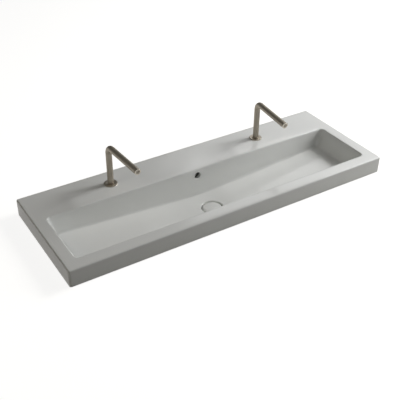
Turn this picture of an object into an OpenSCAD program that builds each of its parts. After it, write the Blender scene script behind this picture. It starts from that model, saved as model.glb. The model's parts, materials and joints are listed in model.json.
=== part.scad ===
/* [Basin] */
// Width of the basin, left to right
basin_w = 1200; // [1000:10:1400]
// Depth of the basin, from the wall to its front
basin_d = 420; // [400:5:480]
// Height of the apron, from the worktop to the top of the rim
rim_h = 60; // [52:1:80]
// Width of the rim at the left and the right
rim_side = 43; // [38:1:70]
// Width of the rim at the front
rim_front = 44; // [38:1:70]
// Depth of the tap deck, from the wall to the bowl
deck_d = 147; // [140:1:170]
// Thickness of the deck and the rim
deck_t = 12; // [10:1:14]
// Thickness of the apron that stands on the worktop
apron_t = 12; // [8:1:16]
// Thickness of the bowl's walls and floor
shell_t = 10; // [8:1:12]
// Rounding of the outer top edge
edge_r = 5; // [2:0.5:8]
// Rounding of the four upright outer corners
corner_r = 7; // [4:0.5:14]

/* [Bowl] */
// Depth of the bowl at its middle
mid_depth = 105; // [95:1:130]
// Depth of the bowl at its left and right ends
end_depth = 70; // [60:1:90]
// How far the foot of each end wall stands in from its top
end_lean = 20; // [5:1:40]
// How far the foot of the back wall stands in from its top
back_lean = 5; // [0:1:12]
// How far the foot of the front wall stands in from its top
front_lean = 36; // [10:1:50]
// Rounding of the bowl's edge where it meets the rim
lip_r = 5; // [2:0.5:8]
// Radius of the opening's four corners, seen from above
opening_r = 15; // [9:1:30]
// Radius where the walls meet the floor
floor_r = 8; // [5:1:14]

/* [Overflow] */
// Depth of the overflow hole's centre below the rim
overflow_drop = 28; // [26:1:32]
// Diameter of the overflow hole
overflow_d = 24; // [14:1:24]
// Rounding of the overflow hole's edge
overflow_edge_r = 2; // [1:0.5:4]
// Width of the hidden overflow channel
channel_w = 50; // [30:1:60]
// Depth of the hidden overflow channel
channel_t = 14; // [8:1:16]

/* [Waste] */
// Distance of the waste's centre from the bowl's back edge
waste_back = 97; // [80:1:120]
// Diameter of the round recess in the bowl's floor
recess_d = 82; // [78:1:96]
// Depth of the round recess
recess_depth = 16; // [13:1:20]
// Rounding of the recess's edge
recess_edge_r = 3; // [1:0.5:4]
// Diameter of the hole through the ceramic
waste_hole_d = 46; // [44:1:50]
// Diameter of the waste's inside
waste_bore_d = 36; // [34:0.5:37]
// Diameter of the waste's flange
flange_d = 62; // [58:1:68]
// Diameter of the domed cap
cap_d = 70; // [64:1:74]
// Rounding of the cap's edge
cap_edge_r = 7.5; // [4:0.5:9]
// Height of the crown above the cap's rounded edge
cap_rise = 1.5; // [1:0.5:4]
// Travel of the cap between shut and open
cap_lift = 8; // [5:0.5:9]
// Length of thread left free below the back nut for a trap
tail_len = 24; // [20:1:45]

/* [Taps] */
// Distance between the two taps
tap_spacing = 595; // [400:5:700]
// Distance of the taps from the wall
tap_back = 76; // [68:1:88]
// Diameter of the tap holes
tap_hole_d = 35; // [32:1:38]
// Outside diameter of the spout tube
tube_d = 21; // [19:0.5:24]
// Wall of the spout tube
tube_wall = 1.2; // [0.8:0.1:1.4]
// Height of the spout's centre line above the deck
spout_h = 143; // [110:1:220]
// Reach of the spout from its post
spout_reach = 186; // [120:1:230]
// Radius of the spout's bend at its centre line
bend_r = 24; // [14:1:40]
// Angle that the left spout is turned towards the middle
left_turn = 3; // [-30:1:30]
// Angle that the right spout is turned towards the middle
right_turn = 6; // [-30:1:30]
// Diameter of the rosette
rosette_d = 45; // [44:1:56]
// Height of the rosette
rosette_h = 3; // [3:0.5:8]
// Length of the inlet thread left free for a hose
inlet_len = 14; // [10:1:20]

/* [Wall fixing] */
// Distance between the two fixing holes in the back
fixing_spacing = 700; // [300:10:900]
// Diameter of the fixing holes
fixing_d = 14; // [8:1:16]
// Height of the fixing holes above the worktop
fixing_z = 26; // [16:1:36]

/* [Hidden] */

// Overrun that every cut shares
over = 1;
// Radial gap of a turning or sliding fit
run_gap = 0.05;
// Gap between a moving piece and the face that it rests on
rest_gap = 0.1;
// Radial gap of a screwed or pushed fit
fit_gap = 0.03;
$fn = 64;
hull_fn = 28;

// Places in the bowl
half_w = basin_w / 2;
opening_x = half_w - rim_side;
opening_back = -deck_d;
opening_front = -basin_d + rim_front;
lip_land = 1;
lip_band = lip_r + lip_land;
hull_top_z = rim_h - lip_band;
mid_z = rim_h - mid_depth;
end_z = rim_h - end_depth;
waste_y = opening_back - waste_back;
recess_z = mid_z - recess_depth;
channel_top_z = recess_z - shell_t;
channel_low_z = channel_top_z - channel_t;
boss_z = channel_low_z - shell_t;
boss_d = recess_d + 2 * shell_t;
housing_w = channel_w + 2 * shell_t;
// The floor is level round the recess, and rises from there to both ends
level_margin = 4;
level_x = recess_d / 2 + recess_edge_r + level_margin - floor_r;
channel_y = opening_back + shell_t;
overflow_z = rim_h - overflow_drop;

// Sizes of the waste, whose thread is the standard G 1 1/4
waste_thread_d = 41.91;
thread_runout = 1;
top_seal_t = 1.5;
top_seal_inset = 0.5;
flange_t = 2;
flange_z = recess_z + top_seal_t + flange_t;
neck_relief = 1;
neck_d = waste_thread_d - 2 * neck_relief;
slot_w = 14;
relief_h = 2;
relief_depth = 1;
cone_h = 8;
cone_d = 60;
cone_nose_h = 4;
cone_nose_gap = 0.5;
cone_nose_wall = 0.5;
washer_t = 2;
washer_d = 58;
back_nut_h = 10;
back_nut_w = 58;
back_nut_z = boss_z - cone_h - washer_t - back_nut_h;
tail_z = back_nut_z - relief_h - tail_len;
cap_seal_d = 56;
cap_seal_t = 2;
cap_seal_lap = 1;
carrier_d = 60;
carrier_t = 2.5;
carrier_hub_d = 14;
carrier_hub_h = 8;
cap_foot_h = 1;
cap_side_h = cap_foot_h + cap_edge_r;
sleeve_d = 16;
sleeve_bore_d = 12;
sleeve_floor_t = 2;
sleeve_end_room = 8;
guide_nut_t = 3;
guide_drop = 6;
rod_d = 8;
collar_h = 4;
collar_d = sleeve_bore_d - 2 * run_gap;
pin_d = 6;
spring_wire_d = 1.2;
spring_mean_d = 9.2;
spring_len = 14;
spring_turns = 6;
sleeve_len = sleeve_floor_t + spring_len + collar_h + cap_lift + sleeve_end_room;
hub_d = 22;
hub_h = 8;
spoke_w = 3;
spoke_h = 6;
sleeve_z = flange_z - guide_drop - guide_nut_t - sleeve_len;
carrier_z = flange_z + rest_gap + cap_seal_t;
cap_z = carrier_z + carrier_t;
collar_z = sleeve_z + sleeve_floor_t + spring_len;

// Sizes of a tap, measured from the top of the deck; its inlet thread is the standard G 1/2
inlet_thread_d = 20.955;
gasket_t = 1;
gasket_inset = 0.5;
rosette_cover_t = 1;
rosette_wall = 2.5;
shank_flange_t = rosette_h - gasket_t - rosette_cover_t;
shank_flange_d = rosette_d - 2 * rosette_wall;
gasket_d = shank_flange_d - 2 * gasket_inset;
shank_seat = gasket_t + shank_flange_t;
rosette_foot_gap = 0.2;
rosette_tube_gap = 0.3;
rosette_bore_d = tube_d + 2 * rosette_tube_gap;
rosette_edge_r = 0.8;
thrust_t = 0.5;
tube_foot = shank_seat + thrust_t + rest_gap;
tube_bore_d = tube_d - 2 * tube_wall;
spigot_d = 16;
spigot_len = 34;
spigot_head_len = 14;
spigot_bore_d = 11;
ring_groove_depth = 1.4;
ring_groove_w = 2.6;
ring_drops = [8, 16];
snap_drop = 26;
snap_w = 1.2;
snap_in_d = 13.4;
snap_out_d = 17;
snap_room = 0.4;
snap_gap_w = 4;
under_gasket_t = 3;
under_gasket_d = 50;
clamp_washer_t = 2;
clamp_washer_d = 48;
lock_nut_h = 8;
lock_nut_w = 30;
lock_nut_drop = deck_t + under_gasket_t + clamp_washer_t + lock_nut_h;
shank_drop = lock_nut_drop + relief_h + inlet_len;
inlet_relief = 0.8;
spigot_end_room = 2;
shank_bore_len = spigot_len + spigot_end_room;
shank_low_bore_d = 12;
centring_h = 9;
centring_wall_gap = 0.2;
aerator_len = 9;
aerator_rim_inset = 0.3;
aerator_rim_d = tube_d - 2 * aerator_rim_inset;
aerator_rim_t = 0.8;
aerator_bore_d = 15;
aerator_lip_d = 13.4;
aerator_lip_t = 0.8;
insert_t = 5;
insert_hole_d = 1.6;
insert_pitch = 2.5;
aerator_seal_t = 1.6;
aerator_seal_in_d = 12;

ceramic = [0.90, 0.90, 0.88];
metal = [0.55, 0.52, 0.47];
brass = [0.78, 0.66, 0.36];
rubber = [0.10, 0.10, 0.10];
polymer = [0.85, 0.85, 0.83];
steel = [0.70, 0.70, 0.70];

// Plain solids that several pieces share
module ring(od, id, h) {
    difference() {
        cylinder(d = od, h = h);
        translate([0, 0, -over]) cylinder(d = id, h = h + 2 * over);
    }
}

module hex_nut(across, id, h) {
    difference() {
        cylinder(d = across / cos(30), h = h, $fn = 6);
        translate([0, 0, -over]) cylinder(d = id, h = h + 2 * over);
    }
}

module rounded_rect(w, d, r) {
    union() {
        translate([r, 0]) square([w - 2 * r, d]);
        translate([0, r]) square([w, d - 2 * r]);
        for (x = [r, w - r], y = [r, d - r]) translate([x, y]) circle(r = r);
    }
}

// A section whose two top corners are rounded
module round_top(w, h, r) {
    union() {
        square([w, h - r]);
        translate([r, 0]) square([w - 2 * r, h]);
        for (x = [r, w - r]) translate([x, h - r]) circle(r = r);
    }
}

// The sliver that a rounded edge leaves, with its arc outwards
module edge_sliver(r) {
    difference() {
        translate([-over, -r]) square([r + over, r + over]);
        translate([r, -r]) circle(r = r);
    }
}

// Basin
module rim_block() {
    intersection() {
        translate([-half_w, -basin_d, 0])
            linear_extrude(rim_h) rounded_rect(basin_w, basin_d, corner_r);
        translate([-half_w, 0, 0]) rotate([90, 0, 0])
            linear_extrude(basin_d) round_top(basin_w, rim_h, edge_r);
        translate([half_w, 0, 0]) rotate([90, 0, -90])
            linear_extrude(basin_w) round_top(basin_d, rim_h, edge_r);
    }
}

module rim_hollow() {
    translate([-half_w + apron_t, -basin_d + apron_t, -over])
        cube([basin_w - 2 * apron_t, basin_d - 2 * apron_t, rim_h - deck_t + over]);
}

// The bowl's space, grown by t for its outside
module bowl_form(t, top_z) {
    x_top = opening_x - opening_r;
    y_top = [opening_front + opening_r, opening_back - opening_r];
    x_low = opening_x - end_lean - floor_r;
    y_low = [opening_front + front_lean + floor_r, opening_back - back_lean - floor_r];
    hull() {
        for (x = [-x_top, x_top], y = y_top)
            translate([x, y, hull_top_z - over])
                cylinder(r = opening_r + t, h = top_z - hull_top_z + over, $fn = hull_fn);
        for (x = [-x_low, x_low], y = y_low)
            translate([x, y, end_z + floor_r]) sphere(r = floor_r + t, $fn = hull_fn);
        for (x = [-level_x, level_x], y = y_low)
            translate([x, y, mid_z + floor_r]) sphere(r = floor_r + t, $fn = hull_fn);
    }
}

module opening_prism() {
    translate([-opening_x, opening_front, hull_top_z])
        linear_extrude(lip_band + over)
            rounded_rect(2 * opening_x, opening_back - opening_front, opening_r);
}

module lip_side(length) {
    rotate([90, 0, 0]) translate([0, 0, -length / 2]) linear_extrude(length) edge_sliver(lip_r);
}

// What is cut away to round the bowl's edge at the rim
module lip_round() {
    w = opening_x - opening_r;
    d = (opening_back - opening_front) / 2 - opening_r;
    translate([0, (opening_back + opening_front) / 2, rim_h]) {
        for (s = [0, 180]) rotate([0, 0, s]) {
            translate([w + opening_r, 0, 0]) lip_side(2 * d);
            translate([0, d + opening_r, 0]) rotate([0, 0, 90]) lip_side(2 * w);
        }
        for (c = [[w, d, 0], [-w, d, 90], [-w, -d, 180], [w, -d, 270]])
            translate([c[0], c[1], 0]) rotate([0, 0, c[2]])
                rotate_extrude(angle = 90) translate([opening_r, 0]) edge_sliver(lip_r);
    }
}

// Rounds the edge of a round hole whose mouth faces up at z = 0
module mouth_round(d, r) {
    rotate_extrude() translate([d / 2, 0]) edge_sliver(r);
}

module overflow_hole() {
    wall_y = opening_back - back_lean * overflow_drop / mid_depth;
    translate([0, wall_y, overflow_z]) rotate([90, 0, 0]) {
        translate([0, 0, -shell_t - channel_t / 2]) cylinder(d = overflow_d, h = shell_t + channel_t);
        mouth_round(overflow_d, overflow_edge_r);
    }
}

module basin_body() {
    color(ceramic) difference() {
        union() {
            difference() {
                rim_block();
                rim_hollow();
            }
            bowl_form(shell_t, rim_h - deck_t / 2);
            translate([0, waste_y, channel_top_z]) cylinder(d = boss_d, h = mid_z - channel_top_z);
        }
        bowl_form(0, hull_top_z + over);
        opening_prism();
        lip_round();
        overflow_hole();
        translate([0, waste_y, recess_z]) cylinder(d = recess_d, h = recess_depth + shell_t);
        translate([0, waste_y, mid_z]) mouth_round(recess_d, recess_edge_r);
        translate([0, waste_y, channel_top_z - over]) cylinder(d = waste_hole_d, h = shell_t + 2 * over);
        for (x = [-tap_spacing / 2, tap_spacing / 2])
            translate([x, -tap_back, rim_h - deck_t - over])
                cylinder(d = tap_hole_d, h = deck_t + 2 * over);
        for (x = [-fixing_spacing / 2, fixing_spacing / 2])
            translate([x, over, fixing_z]) rotate([90, 0, 0])
                cylinder(d = fixing_d, h = apron_t + 2 * over);
    }
}

// Upright part of the overflow's channel, behind the bowl's back wall
module overflow_duct() {
    front_y = channel_y - shell_t;
    color(ceramic) difference() {
        translate([-housing_w / 2, front_y, boss_z])
            cube([housing_w, channel_t + 2 * shell_t, rim_h - deck_t - boss_z]);
        bowl_form(shell_t, rim_h - deck_t / 2);
        translate([-channel_w / 2, front_y - over, channel_low_z])
            cube([channel_w, channel_t + shell_t + over, rim_h - channel_low_z]);
    }
}

// Level part of the channel and the boss round the waste, under the bowl's floor
module overflow_chamber() {
    run = channel_y - shell_t - waste_y;
    color(ceramic) difference() {
        union() {
            translate([0, waste_y, boss_z]) cylinder(d = boss_d, h = channel_top_z - boss_z);
            translate([-housing_w / 2, waste_y, boss_z]) cube([housing_w, run, mid_z - boss_z]);
        }
        bowl_form(shell_t, rim_h - deck_t / 2);
        translate([0, waste_y, channel_top_z]) cylinder(d = boss_d, h = mid_z - channel_top_z + over);
        translate([0, waste_y, boss_z - over])
            cylinder(d = waste_hole_d, h = channel_top_z - boss_z + 2 * over);
        translate([-channel_w / 2, waste_y, channel_low_z]) cube([channel_w, run + over, channel_t]);
    }
}

// Waste, in its own axis
module waste_place() {
    translate([0, waste_y, 0]) children();
}

module waste_cap() {
    crown_rim_r = cap_d / 2 - cap_edge_r;
    dome_r = (crown_rim_r * crown_rim_r + cap_rise * cap_rise) / (2 * cap_rise);
    color(ceramic) waste_place() translate([0, 0, cap_z]) union() {
        difference() {
            cylinder(d = cap_d, h = cap_side_h);
            translate([0, 0, cap_side_h]) rotate_extrude()
                translate([cap_d / 2, 0]) mirror([1, 0]) edge_sliver(cap_edge_r);
        }
        translate([0, 0, cap_side_h]) intersection() {
            cylinder(r = crown_rim_r, h = cap_rise + over);
            translate([0, 0, cap_rise - dome_r]) sphere(r = dome_r, $fn = 128);
        }
    }
}

module waste_cap_carrier() {
    color(brass) waste_place() {
        translate([0, 0, carrier_z]) cylinder(d = carrier_d, h = carrier_t);
        translate([0, 0, cap_z - carrier_hub_h])
            ring(carrier_hub_d, pin_d + 2 * fit_gap, carrier_hub_h - carrier_t);
    }
}

module waste_cap_seal() {
    color(rubber) waste_place() translate([0, 0, carrier_z - cap_seal_t])
        ring(cap_seal_d, waste_bore_d + 2 * cap_seal_lap, cap_seal_t);
}

module waste_plunger() {
    rod_top_z = cap_z - carrier_hub_h;
    color(brass) waste_place() {
        translate([0, 0, collar_z]) cylinder(d = collar_d, h = collar_h);
        translate([0, 0, collar_z]) cylinder(d = rod_d, h = rod_top_z - collar_z);
        translate([0, 0, sleeve_z + 2 * sleeve_floor_t])
            cylinder(d = pin_d, h = carrier_z - sleeve_z - 2 * sleeve_floor_t);
    }
}

// Helix of the spring as rings of points, six round the wire
function spring_ring(k) =
    let (a = 360 * k, z = spring_wire_d / 2 + (spring_len - spring_wire_d) * k / spring_turns)
    [for (j = [0:5])
        let (r = spring_mean_d / 2 + spring_wire_d / 2 * cos(60 * j))
        [r * cos(a), r * sin(a), z + spring_wire_d / 2 * sin(60 * j)]];

module waste_spring() {
    steps = 20;
    n = spring_turns * steps;
    points = [for (i = [0:n]) each spring_ring(i / steps)];
    sides = [for (i = [0:n - 1], j = [0:5], t = [0, 1])
        let (a = 6 * i + j, b = 6 * i + (j + 1) % 6)
        t == 0 ? [a, b, b + 6] : [a, b + 6, a + 6]];
    caps = [for (j = [1:4]) each [[0, j + 1, j], [6 * n, 6 * n + j, 6 * n + j + 1]]];
    color(steel) waste_place() translate([0, 0, sleeve_z + sleeve_floor_t])
        polyhedron(points = points, faces = concat(sides, caps));
}

module waste_sleeve() {
    color(polymer) waste_place() translate([0, 0, sleeve_z]) difference() {
        cylinder(d = sleeve_d, h = sleeve_len);
        translate([0, 0, sleeve_floor_t]) cylinder(d = sleeve_bore_d, h = sleeve_len);
    }
}

module waste_guide_nut() {
    color(polymer) waste_place() translate([0, 0, sleeve_z + sleeve_len])
        ring(sleeve_d, rod_d + 2 * run_gap, guide_nut_t);
}

module waste_body() {
    thread_top_z = boss_z - thread_runout;
    color(brass) waste_place() difference() {
        union() {
            translate([0, 0, flange_z - flange_t]) cylinder(d = flange_d, h = flange_t);
            translate([0, 0, thread_top_z]) cylinder(d = neck_d, h = flange_z - thread_top_z - flange_t);
            translate([0, 0, back_nut_z]) cylinder(d = waste_thread_d, h = thread_top_z - back_nut_z);
            translate([0, 0, tail_z]) cylinder(d = waste_thread_d, h = tail_len);
            translate([0, 0, tail_z + tail_len])
                cylinder(d = waste_thread_d - 2 * relief_depth, h = relief_h);
        }
        difference() {
            translate([0, 0, tail_z - over]) cylinder(d = waste_bore_d, h = flange_z - tail_z + 2 * over);
            translate([0, 0, sleeve_z]) difference() {
                union() {
                    cylinder(d = hub_d, h = hub_h);
                    for (a = [0, 120, 240]) rotate([0, 0, a])
                        translate([0, -spoke_w / 2, 0]) cube([waste_bore_d / 2 + over, spoke_w, spoke_h]);
                }
                translate([0, 0, -over]) cylinder(d = sleeve_d + 2 * fit_gap, h = hub_h + 2 * over);
            }
        }
        for (a = [0, 90]) rotate([0, 0, a])
            translate([-flange_d / 2, -slot_w / 2, channel_low_z])
                cube([flange_d, slot_w, channel_t]);
    }
}

module waste_top_seal() {
    color(rubber) waste_place() translate([0, 0, recess_z])
        ring(flange_d - 2 * top_seal_inset, neck_d + 2 * fit_gap, top_seal_t);
}

module waste_cone_seal() {
    nose_low_d = waste_hole_d - 2 * cone_nose_gap;
    nose_top_d = waste_thread_d + 2 * cone_nose_wall;
    color(rubber) waste_place() difference() {
        union() {
            translate([0, 0, boss_z - cone_h]) cylinder(d = cone_d, h = cone_h);
            translate([0, 0, boss_z])
                cylinder(d1 = nose_low_d, d2 = nose_top_d, h = cone_nose_h);
        }
        translate([0, 0, boss_z - cone_h - over])
            cylinder(d = waste_thread_d + 2 * fit_gap, h = cone_h + cone_nose_h + 2 * over);
    }
}

module waste_washer() {
    color(polymer) waste_place() translate([0, 0, back_nut_z + back_nut_h])
        ring(washer_d, waste_thread_d + 2 * fit_gap, washer_t);
}

module waste_back_nut() {
    color(brass) waste_place() translate([0, 0, back_nut_z])
        hex_nut(back_nut_w, waste_thread_d + 2 * fit_gap, back_nut_h);
}

// Taps: side is -1 at the left and 1 at the right
module tap_place(side) {
    translate([side * tap_spacing / 2, -tap_back, rim_h]) children();
}

module spout_place(side) {
    tap_place(side) rotate([0, 0, side < 0 ? left_turn : -right_turn]) children();
}

// A round bar that rises, bends and runs forward
module bent_bar(d, foot, reach) {
    translate([0, 0, foot]) cylinder(d = d, h = spout_h - bend_r - foot);
    translate([0, -bend_r, spout_h - bend_r]) rotate([90, 0, 90])
        rotate_extrude(angle = 90) translate([bend_r, 0]) circle(d = d);
    translate([0, -bend_r, spout_h]) rotate([90, 0, 0]) cylinder(d = d, h = reach - bend_r);
}

module spout(side) {
    color(metal) spout_place(side) difference() {
        bent_bar(tube_d, tube_foot, spout_reach - aerator_rim_t);
        bent_bar(tube_bore_d, tube_foot - over, spout_reach + over);
    }
}

module spigot(side) {
    color(brass) spout_place(side) difference() {
        union() {
            translate([0, 0, tube_foot])
                cylinder(d = tube_bore_d - 2 * fit_gap, h = spigot_head_len);
            translate([0, 0, -spigot_len])
                cylinder(d = spigot_d - 2 * run_gap, h = spigot_len + tube_foot);
        }
        translate([0, 0, -spigot_len - over])
            cylinder(d = spigot_bore_d, h = spigot_len + tube_foot + spigot_head_len + 2 * over);
        for (drop = ring_drops) translate([0, 0, -drop])
            ring(tube_d, spigot_d - 2 * ring_groove_depth, ring_groove_w);
        translate([0, 0, -snap_drop]) ring(tube_d, snap_in_d, snap_w);
    }
}

module spigot_rings(side) {
    wire_d = ring_groove_depth - run_gap;
    color(rubber) spout_place(side) for (drop = ring_drops)
        translate([0, 0, ring_groove_w / 2 - drop]) rotate_extrude()
            translate([spigot_d / 2 - run_gap - wire_d / 2, 0]) circle(d = wire_d);
}

module snap_ring(side) {
    color(steel) spout_place(side) translate([0, 0, -snap_drop]) difference() {
        ring(snap_out_d, snap_in_d, snap_w);
        translate([-snap_gap_w / 2, 0, -over]) cube([snap_gap_w, snap_out_d, snap_w + 2 * over]);
    }
}

// The spout's outlet, with z running out of the tube's end
module outlet_place(side) {
    spout_place(side) translate([0, -spout_reach, spout_h]) rotate([90, 0, 0]) children();
}

module aerator_shell(side) {
    color(metal) outlet_place(side) difference() {
        union() {
            translate([0, 0, -aerator_rim_t]) cylinder(d = aerator_rim_d, h = aerator_rim_t);
            translate([0, 0, -aerator_len])
                cylinder(d = tube_bore_d - 2 * fit_gap, h = aerator_len);
        }
        translate([0, 0, -aerator_len - over])
            cylinder(d = aerator_bore_d, h = aerator_len + over - aerator_lip_t);
        translate([0, 0, -aerator_len - over])
            cylinder(d = aerator_lip_d, h = aerator_len + 2 * over);
    }
}

module aerator_insert(side) {
    top = -aerator_lip_t;
    color(polymer) outlet_place(side) translate([0, 0, top - insert_t]) difference() {
        cylinder(d = aerator_bore_d - 2 * fit_gap, h = insert_t);
        for (u = [-2:2], v = [-2:2])
            if (abs(u + v) < 3)
                translate([insert_pitch * (u + v / 2), insert_pitch * v * sin(60), -over])
                    cylinder(d = insert_hole_d, h = insert_t + 2 * over, $fn = 24);
    }
}

module aerator_seal(side) {
    color(rubber) outlet_place(side)
        translate([0, 0, -aerator_lip_t - insert_t - aerator_seal_t])
            ring(aerator_bore_d - 2 * fit_gap, aerator_seal_in_d, aerator_seal_t);
}

module thrust_washer(side) {
    color(polymer) tap_place(side) translate([0, 0, shank_seat])
        ring(tube_d, spigot_d + 2 * run_gap, thrust_t);
}

module rosette(side) {
    color(metal) tap_place(side) difference() {
        translate([0, 0, rosette_foot_gap]) cylinder(d = rosette_d, h = rosette_h - rosette_foot_gap);
        translate([0, 0, -over])
            cylinder(d = shank_flange_d + 2 * fit_gap, h = shank_seat + over);
        cylinder(d = rosette_bore_d, h = rosette_h + over);
        translate([0, 0, rosette_h]) rotate_extrude()
            translate([rosette_d / 2, 0]) mirror([1, 0]) edge_sliver(rosette_edge_r);
    }
}

module shank(side) {
    color(brass) tap_place(side) difference() {
        union() {
            translate([0, 0, gasket_t]) cylinder(d = shank_flange_d, h = shank_flange_t);
            translate([0, 0, -lock_nut_drop])
                cylinder(d = inlet_thread_d, h = lock_nut_drop + gasket_t);
            translate([0, 0, -lock_nut_drop - relief_h])
                cylinder(d = inlet_thread_d - 2 * inlet_relief, h = relief_h);
            translate([0, 0, -shank_drop]) cylinder(d = inlet_thread_d, h = inlet_len);
        }
        translate([0, 0, -shank_bore_len]) cylinder(d = spigot_d, h = shank_bore_len + shank_seat + over);
        translate([0, 0, -shank_drop - over]) cylinder(d = shank_low_bore_d, h = shank_drop);
        translate([0, 0, -snap_drop - snap_room / 2])
            cylinder(d = snap_out_d + snap_room, h = snap_w + snap_room);
    }
}

module deck_gasket(side) {
    color(rubber) tap_place(side) ring(gasket_d, inlet_thread_d + 2 * fit_gap, gasket_t);
}

module centring_ring(side) {
    color(polymer) tap_place(side) translate([0, 0, -deck_t])
        ring(tap_hole_d - 2 * centring_wall_gap, inlet_thread_d + 2 * fit_gap, centring_h);
}

module under_gasket(side) {
    color(rubber) tap_place(side) translate([0, 0, -deck_t - under_gasket_t])
        ring(under_gasket_d, inlet_thread_d + 2 * fit_gap, under_gasket_t);
}

module clamp_washer(side) {
    color(steel) tap_place(side) translate([0, 0, -deck_t - under_gasket_t - clamp_washer_t])
        ring(clamp_washer_d, inlet_thread_d + 2 * fit_gap, clamp_washer_t);
}

module lock_nut(side) {
    color(brass) tap_place(side) translate([0, 0, -lock_nut_drop])
        hex_nut(lock_nut_w, inlet_thread_d + 2 * fit_gap, lock_nut_h);
}

basin_body();
overflow_duct();
overflow_chamber();
waste_cap();
waste_cap_carrier();
waste_cap_seal();
waste_plunger();
waste_spring();
waste_sleeve();
waste_guide_nut();
waste_body();
waste_top_seal();
waste_cone_seal();
waste_washer();
waste_back_nut();
spout(-1);  // left_spout
spigot(-1);  // left_spigot
spigot_rings(-1);  // left_spigot_rings
snap_ring(-1);  // left_snap_ring
aerator_shell(-1);  // left_aerator_shell
aerator_insert(-1);  // left_aerator_insert
aerator_seal(-1);  // left_aerator_seal
thrust_washer(-1);  // left_thrust_washer
rosette(-1);  // left_rosette
shank(-1);  // left_shank
deck_gasket(-1);  // left_deck_gasket
centring_ring(-1);  // left_centring_ring
under_gasket(-1);  // left_under_gasket
clamp_washer(-1);  // left_clamp_washer
lock_nut(-1);  // left_lock_nut
spout(1);  // right_spout
spigot(1);  // right_spigot
spigot_rings(1);  // right_spigot_rings
snap_ring(1);  // right_snap_ring
aerator_shell(1);  // right_aerator_shell
aerator_insert(1);  // right_aerator_insert
aerator_seal(1);  // right_aerator_seal
thrust_washer(1);  // right_thrust_washer
rosette(1);  // right_rosette
shank(1);  // right_shank
deck_gasket(1);  // right_deck_gasket
centring_ring(1);  // right_centring_ring
under_gasket(1);  // right_under_gasket
clamp_washer(1);  // right_clamp_washer
lock_nut(1);  // right_lock_nut
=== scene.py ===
# %% [markdown]
# # A long basin with two spouts
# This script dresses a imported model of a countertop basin: a long ceramic trough with a tap deck,
# two bent-tube spouts and a waste under a domed cap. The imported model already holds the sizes, the
# places and the joints. What is added here is the skin: smooth ceramic, brushed tube, threads.
# A cell is a step. Each step first says what the piece is on the real object and why it is made this way.

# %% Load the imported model
import json
import math

import bmesh
import bpy
import numpy as np
from mathutils import Matrix, Vector


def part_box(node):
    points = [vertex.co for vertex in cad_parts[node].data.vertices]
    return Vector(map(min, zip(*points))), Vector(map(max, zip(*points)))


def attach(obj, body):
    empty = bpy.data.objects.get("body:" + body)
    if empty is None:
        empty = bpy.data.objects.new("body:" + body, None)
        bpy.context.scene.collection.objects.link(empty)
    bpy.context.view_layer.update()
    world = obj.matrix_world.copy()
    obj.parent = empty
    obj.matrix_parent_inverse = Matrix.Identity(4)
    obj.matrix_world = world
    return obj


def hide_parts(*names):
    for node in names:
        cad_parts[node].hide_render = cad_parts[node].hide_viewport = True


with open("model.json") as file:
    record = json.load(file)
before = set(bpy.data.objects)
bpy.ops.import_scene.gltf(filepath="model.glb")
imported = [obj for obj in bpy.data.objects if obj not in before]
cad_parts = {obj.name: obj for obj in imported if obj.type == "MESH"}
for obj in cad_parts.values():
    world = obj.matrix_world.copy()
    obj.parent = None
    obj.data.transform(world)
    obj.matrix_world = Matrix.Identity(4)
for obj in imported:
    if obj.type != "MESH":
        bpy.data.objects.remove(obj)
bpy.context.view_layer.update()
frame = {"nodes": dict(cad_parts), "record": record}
nodes = frame["nodes"]
print("packed pieces:", len(nodes))

# %% [markdown]
# The camera comes first, because every later choice is judged through it. It stands at the front left,
# above the basin, and looks down to the right. A long lens keeps the far end from shrinking too much.
# A camera looks along its own -Z, so the three turns are: tip down, roll, then swing to the heading.

# %% Camera
camera_place = Vector((-1.1036, -1.8872, 1.3605))
heading = math.radians(32.649)
look_down = math.radians(34.803)
roll = math.radians(0.812)
lens_mm, sensor_mm = 63.4, 36.0


def make_camera():
    data = bpy.data.cameras.new("camera")
    data.lens = lens_mm
    data.sensor_width = sensor_mm
    camera = bpy.data.objects.new("camera", data)
    bpy.context.scene.collection.objects.link(camera)
    swing = Matrix.Rotation(-heading, 4, "Z")
    tip = Matrix.Rotation(math.pi / 2 - look_down, 4, "X")
    lean = Matrix.Rotation(roll, 4, "Z")
    camera.matrix_world = Matrix.Translation(camera_place) @ swing @ tip @ lean
    bpy.context.scene.camera = camera
    return camera


camera = make_camera()
print("camera looks along", [round(v, 3) for v in camera.matrix_world.to_3x3() @ Vector((0, 0, -1))])

# %% [markdown]
# Small helpers come next. Every new piece is a mesh whose vertices are already in place, in metres,
# so its object stays at the origin. Faces that meet at a shallow angle are shaded smooth, and the
# others stay crisp, which is how a fillet and a flat part of one casting look.

# %% Helpers for pieces
smooth_angle = math.radians(32)
weld_distance = 1e-6


def add_piece(name, mesh):
    piece = bpy.data.objects.new(name, mesh)
    bpy.context.scene.collection.objects.link(piece)
    return piece


def close_up(mesh):
    """Welds a mesh, turns its faces outwards, shades it and counts the edges that stayed open."""
    work = bmesh.new()
    work.from_mesh(mesh)
    bmesh.ops.remove_doubles(work, verts=work.verts, dist=weld_distance)
    bmesh.ops.recalc_face_normals(work, faces=work.faces)
    open_edges = sum(1 for e in work.edges if not e.is_manifold)
    work.to_mesh(mesh)
    work.free()
    mesh.shade_smooth()
    mesh.set_sharp_from_angle(angle=smooth_angle)
    return open_edges


def mesh_from(name, points, faces):
    mesh = bpy.data.meshes.new(name)
    mesh.from_pydata([tuple(map(float, p)) for p in points], [], faces)
    open_edges = close_up(mesh)
    print(f"{name}: {len(mesh.vertices)} points, {len(mesh.polygons)} faces, {open_edges} open edges")
    return mesh


print("faces that meet at less than", round(math.degrees(smooth_angle)), "degrees are shaded smooth")

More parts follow.
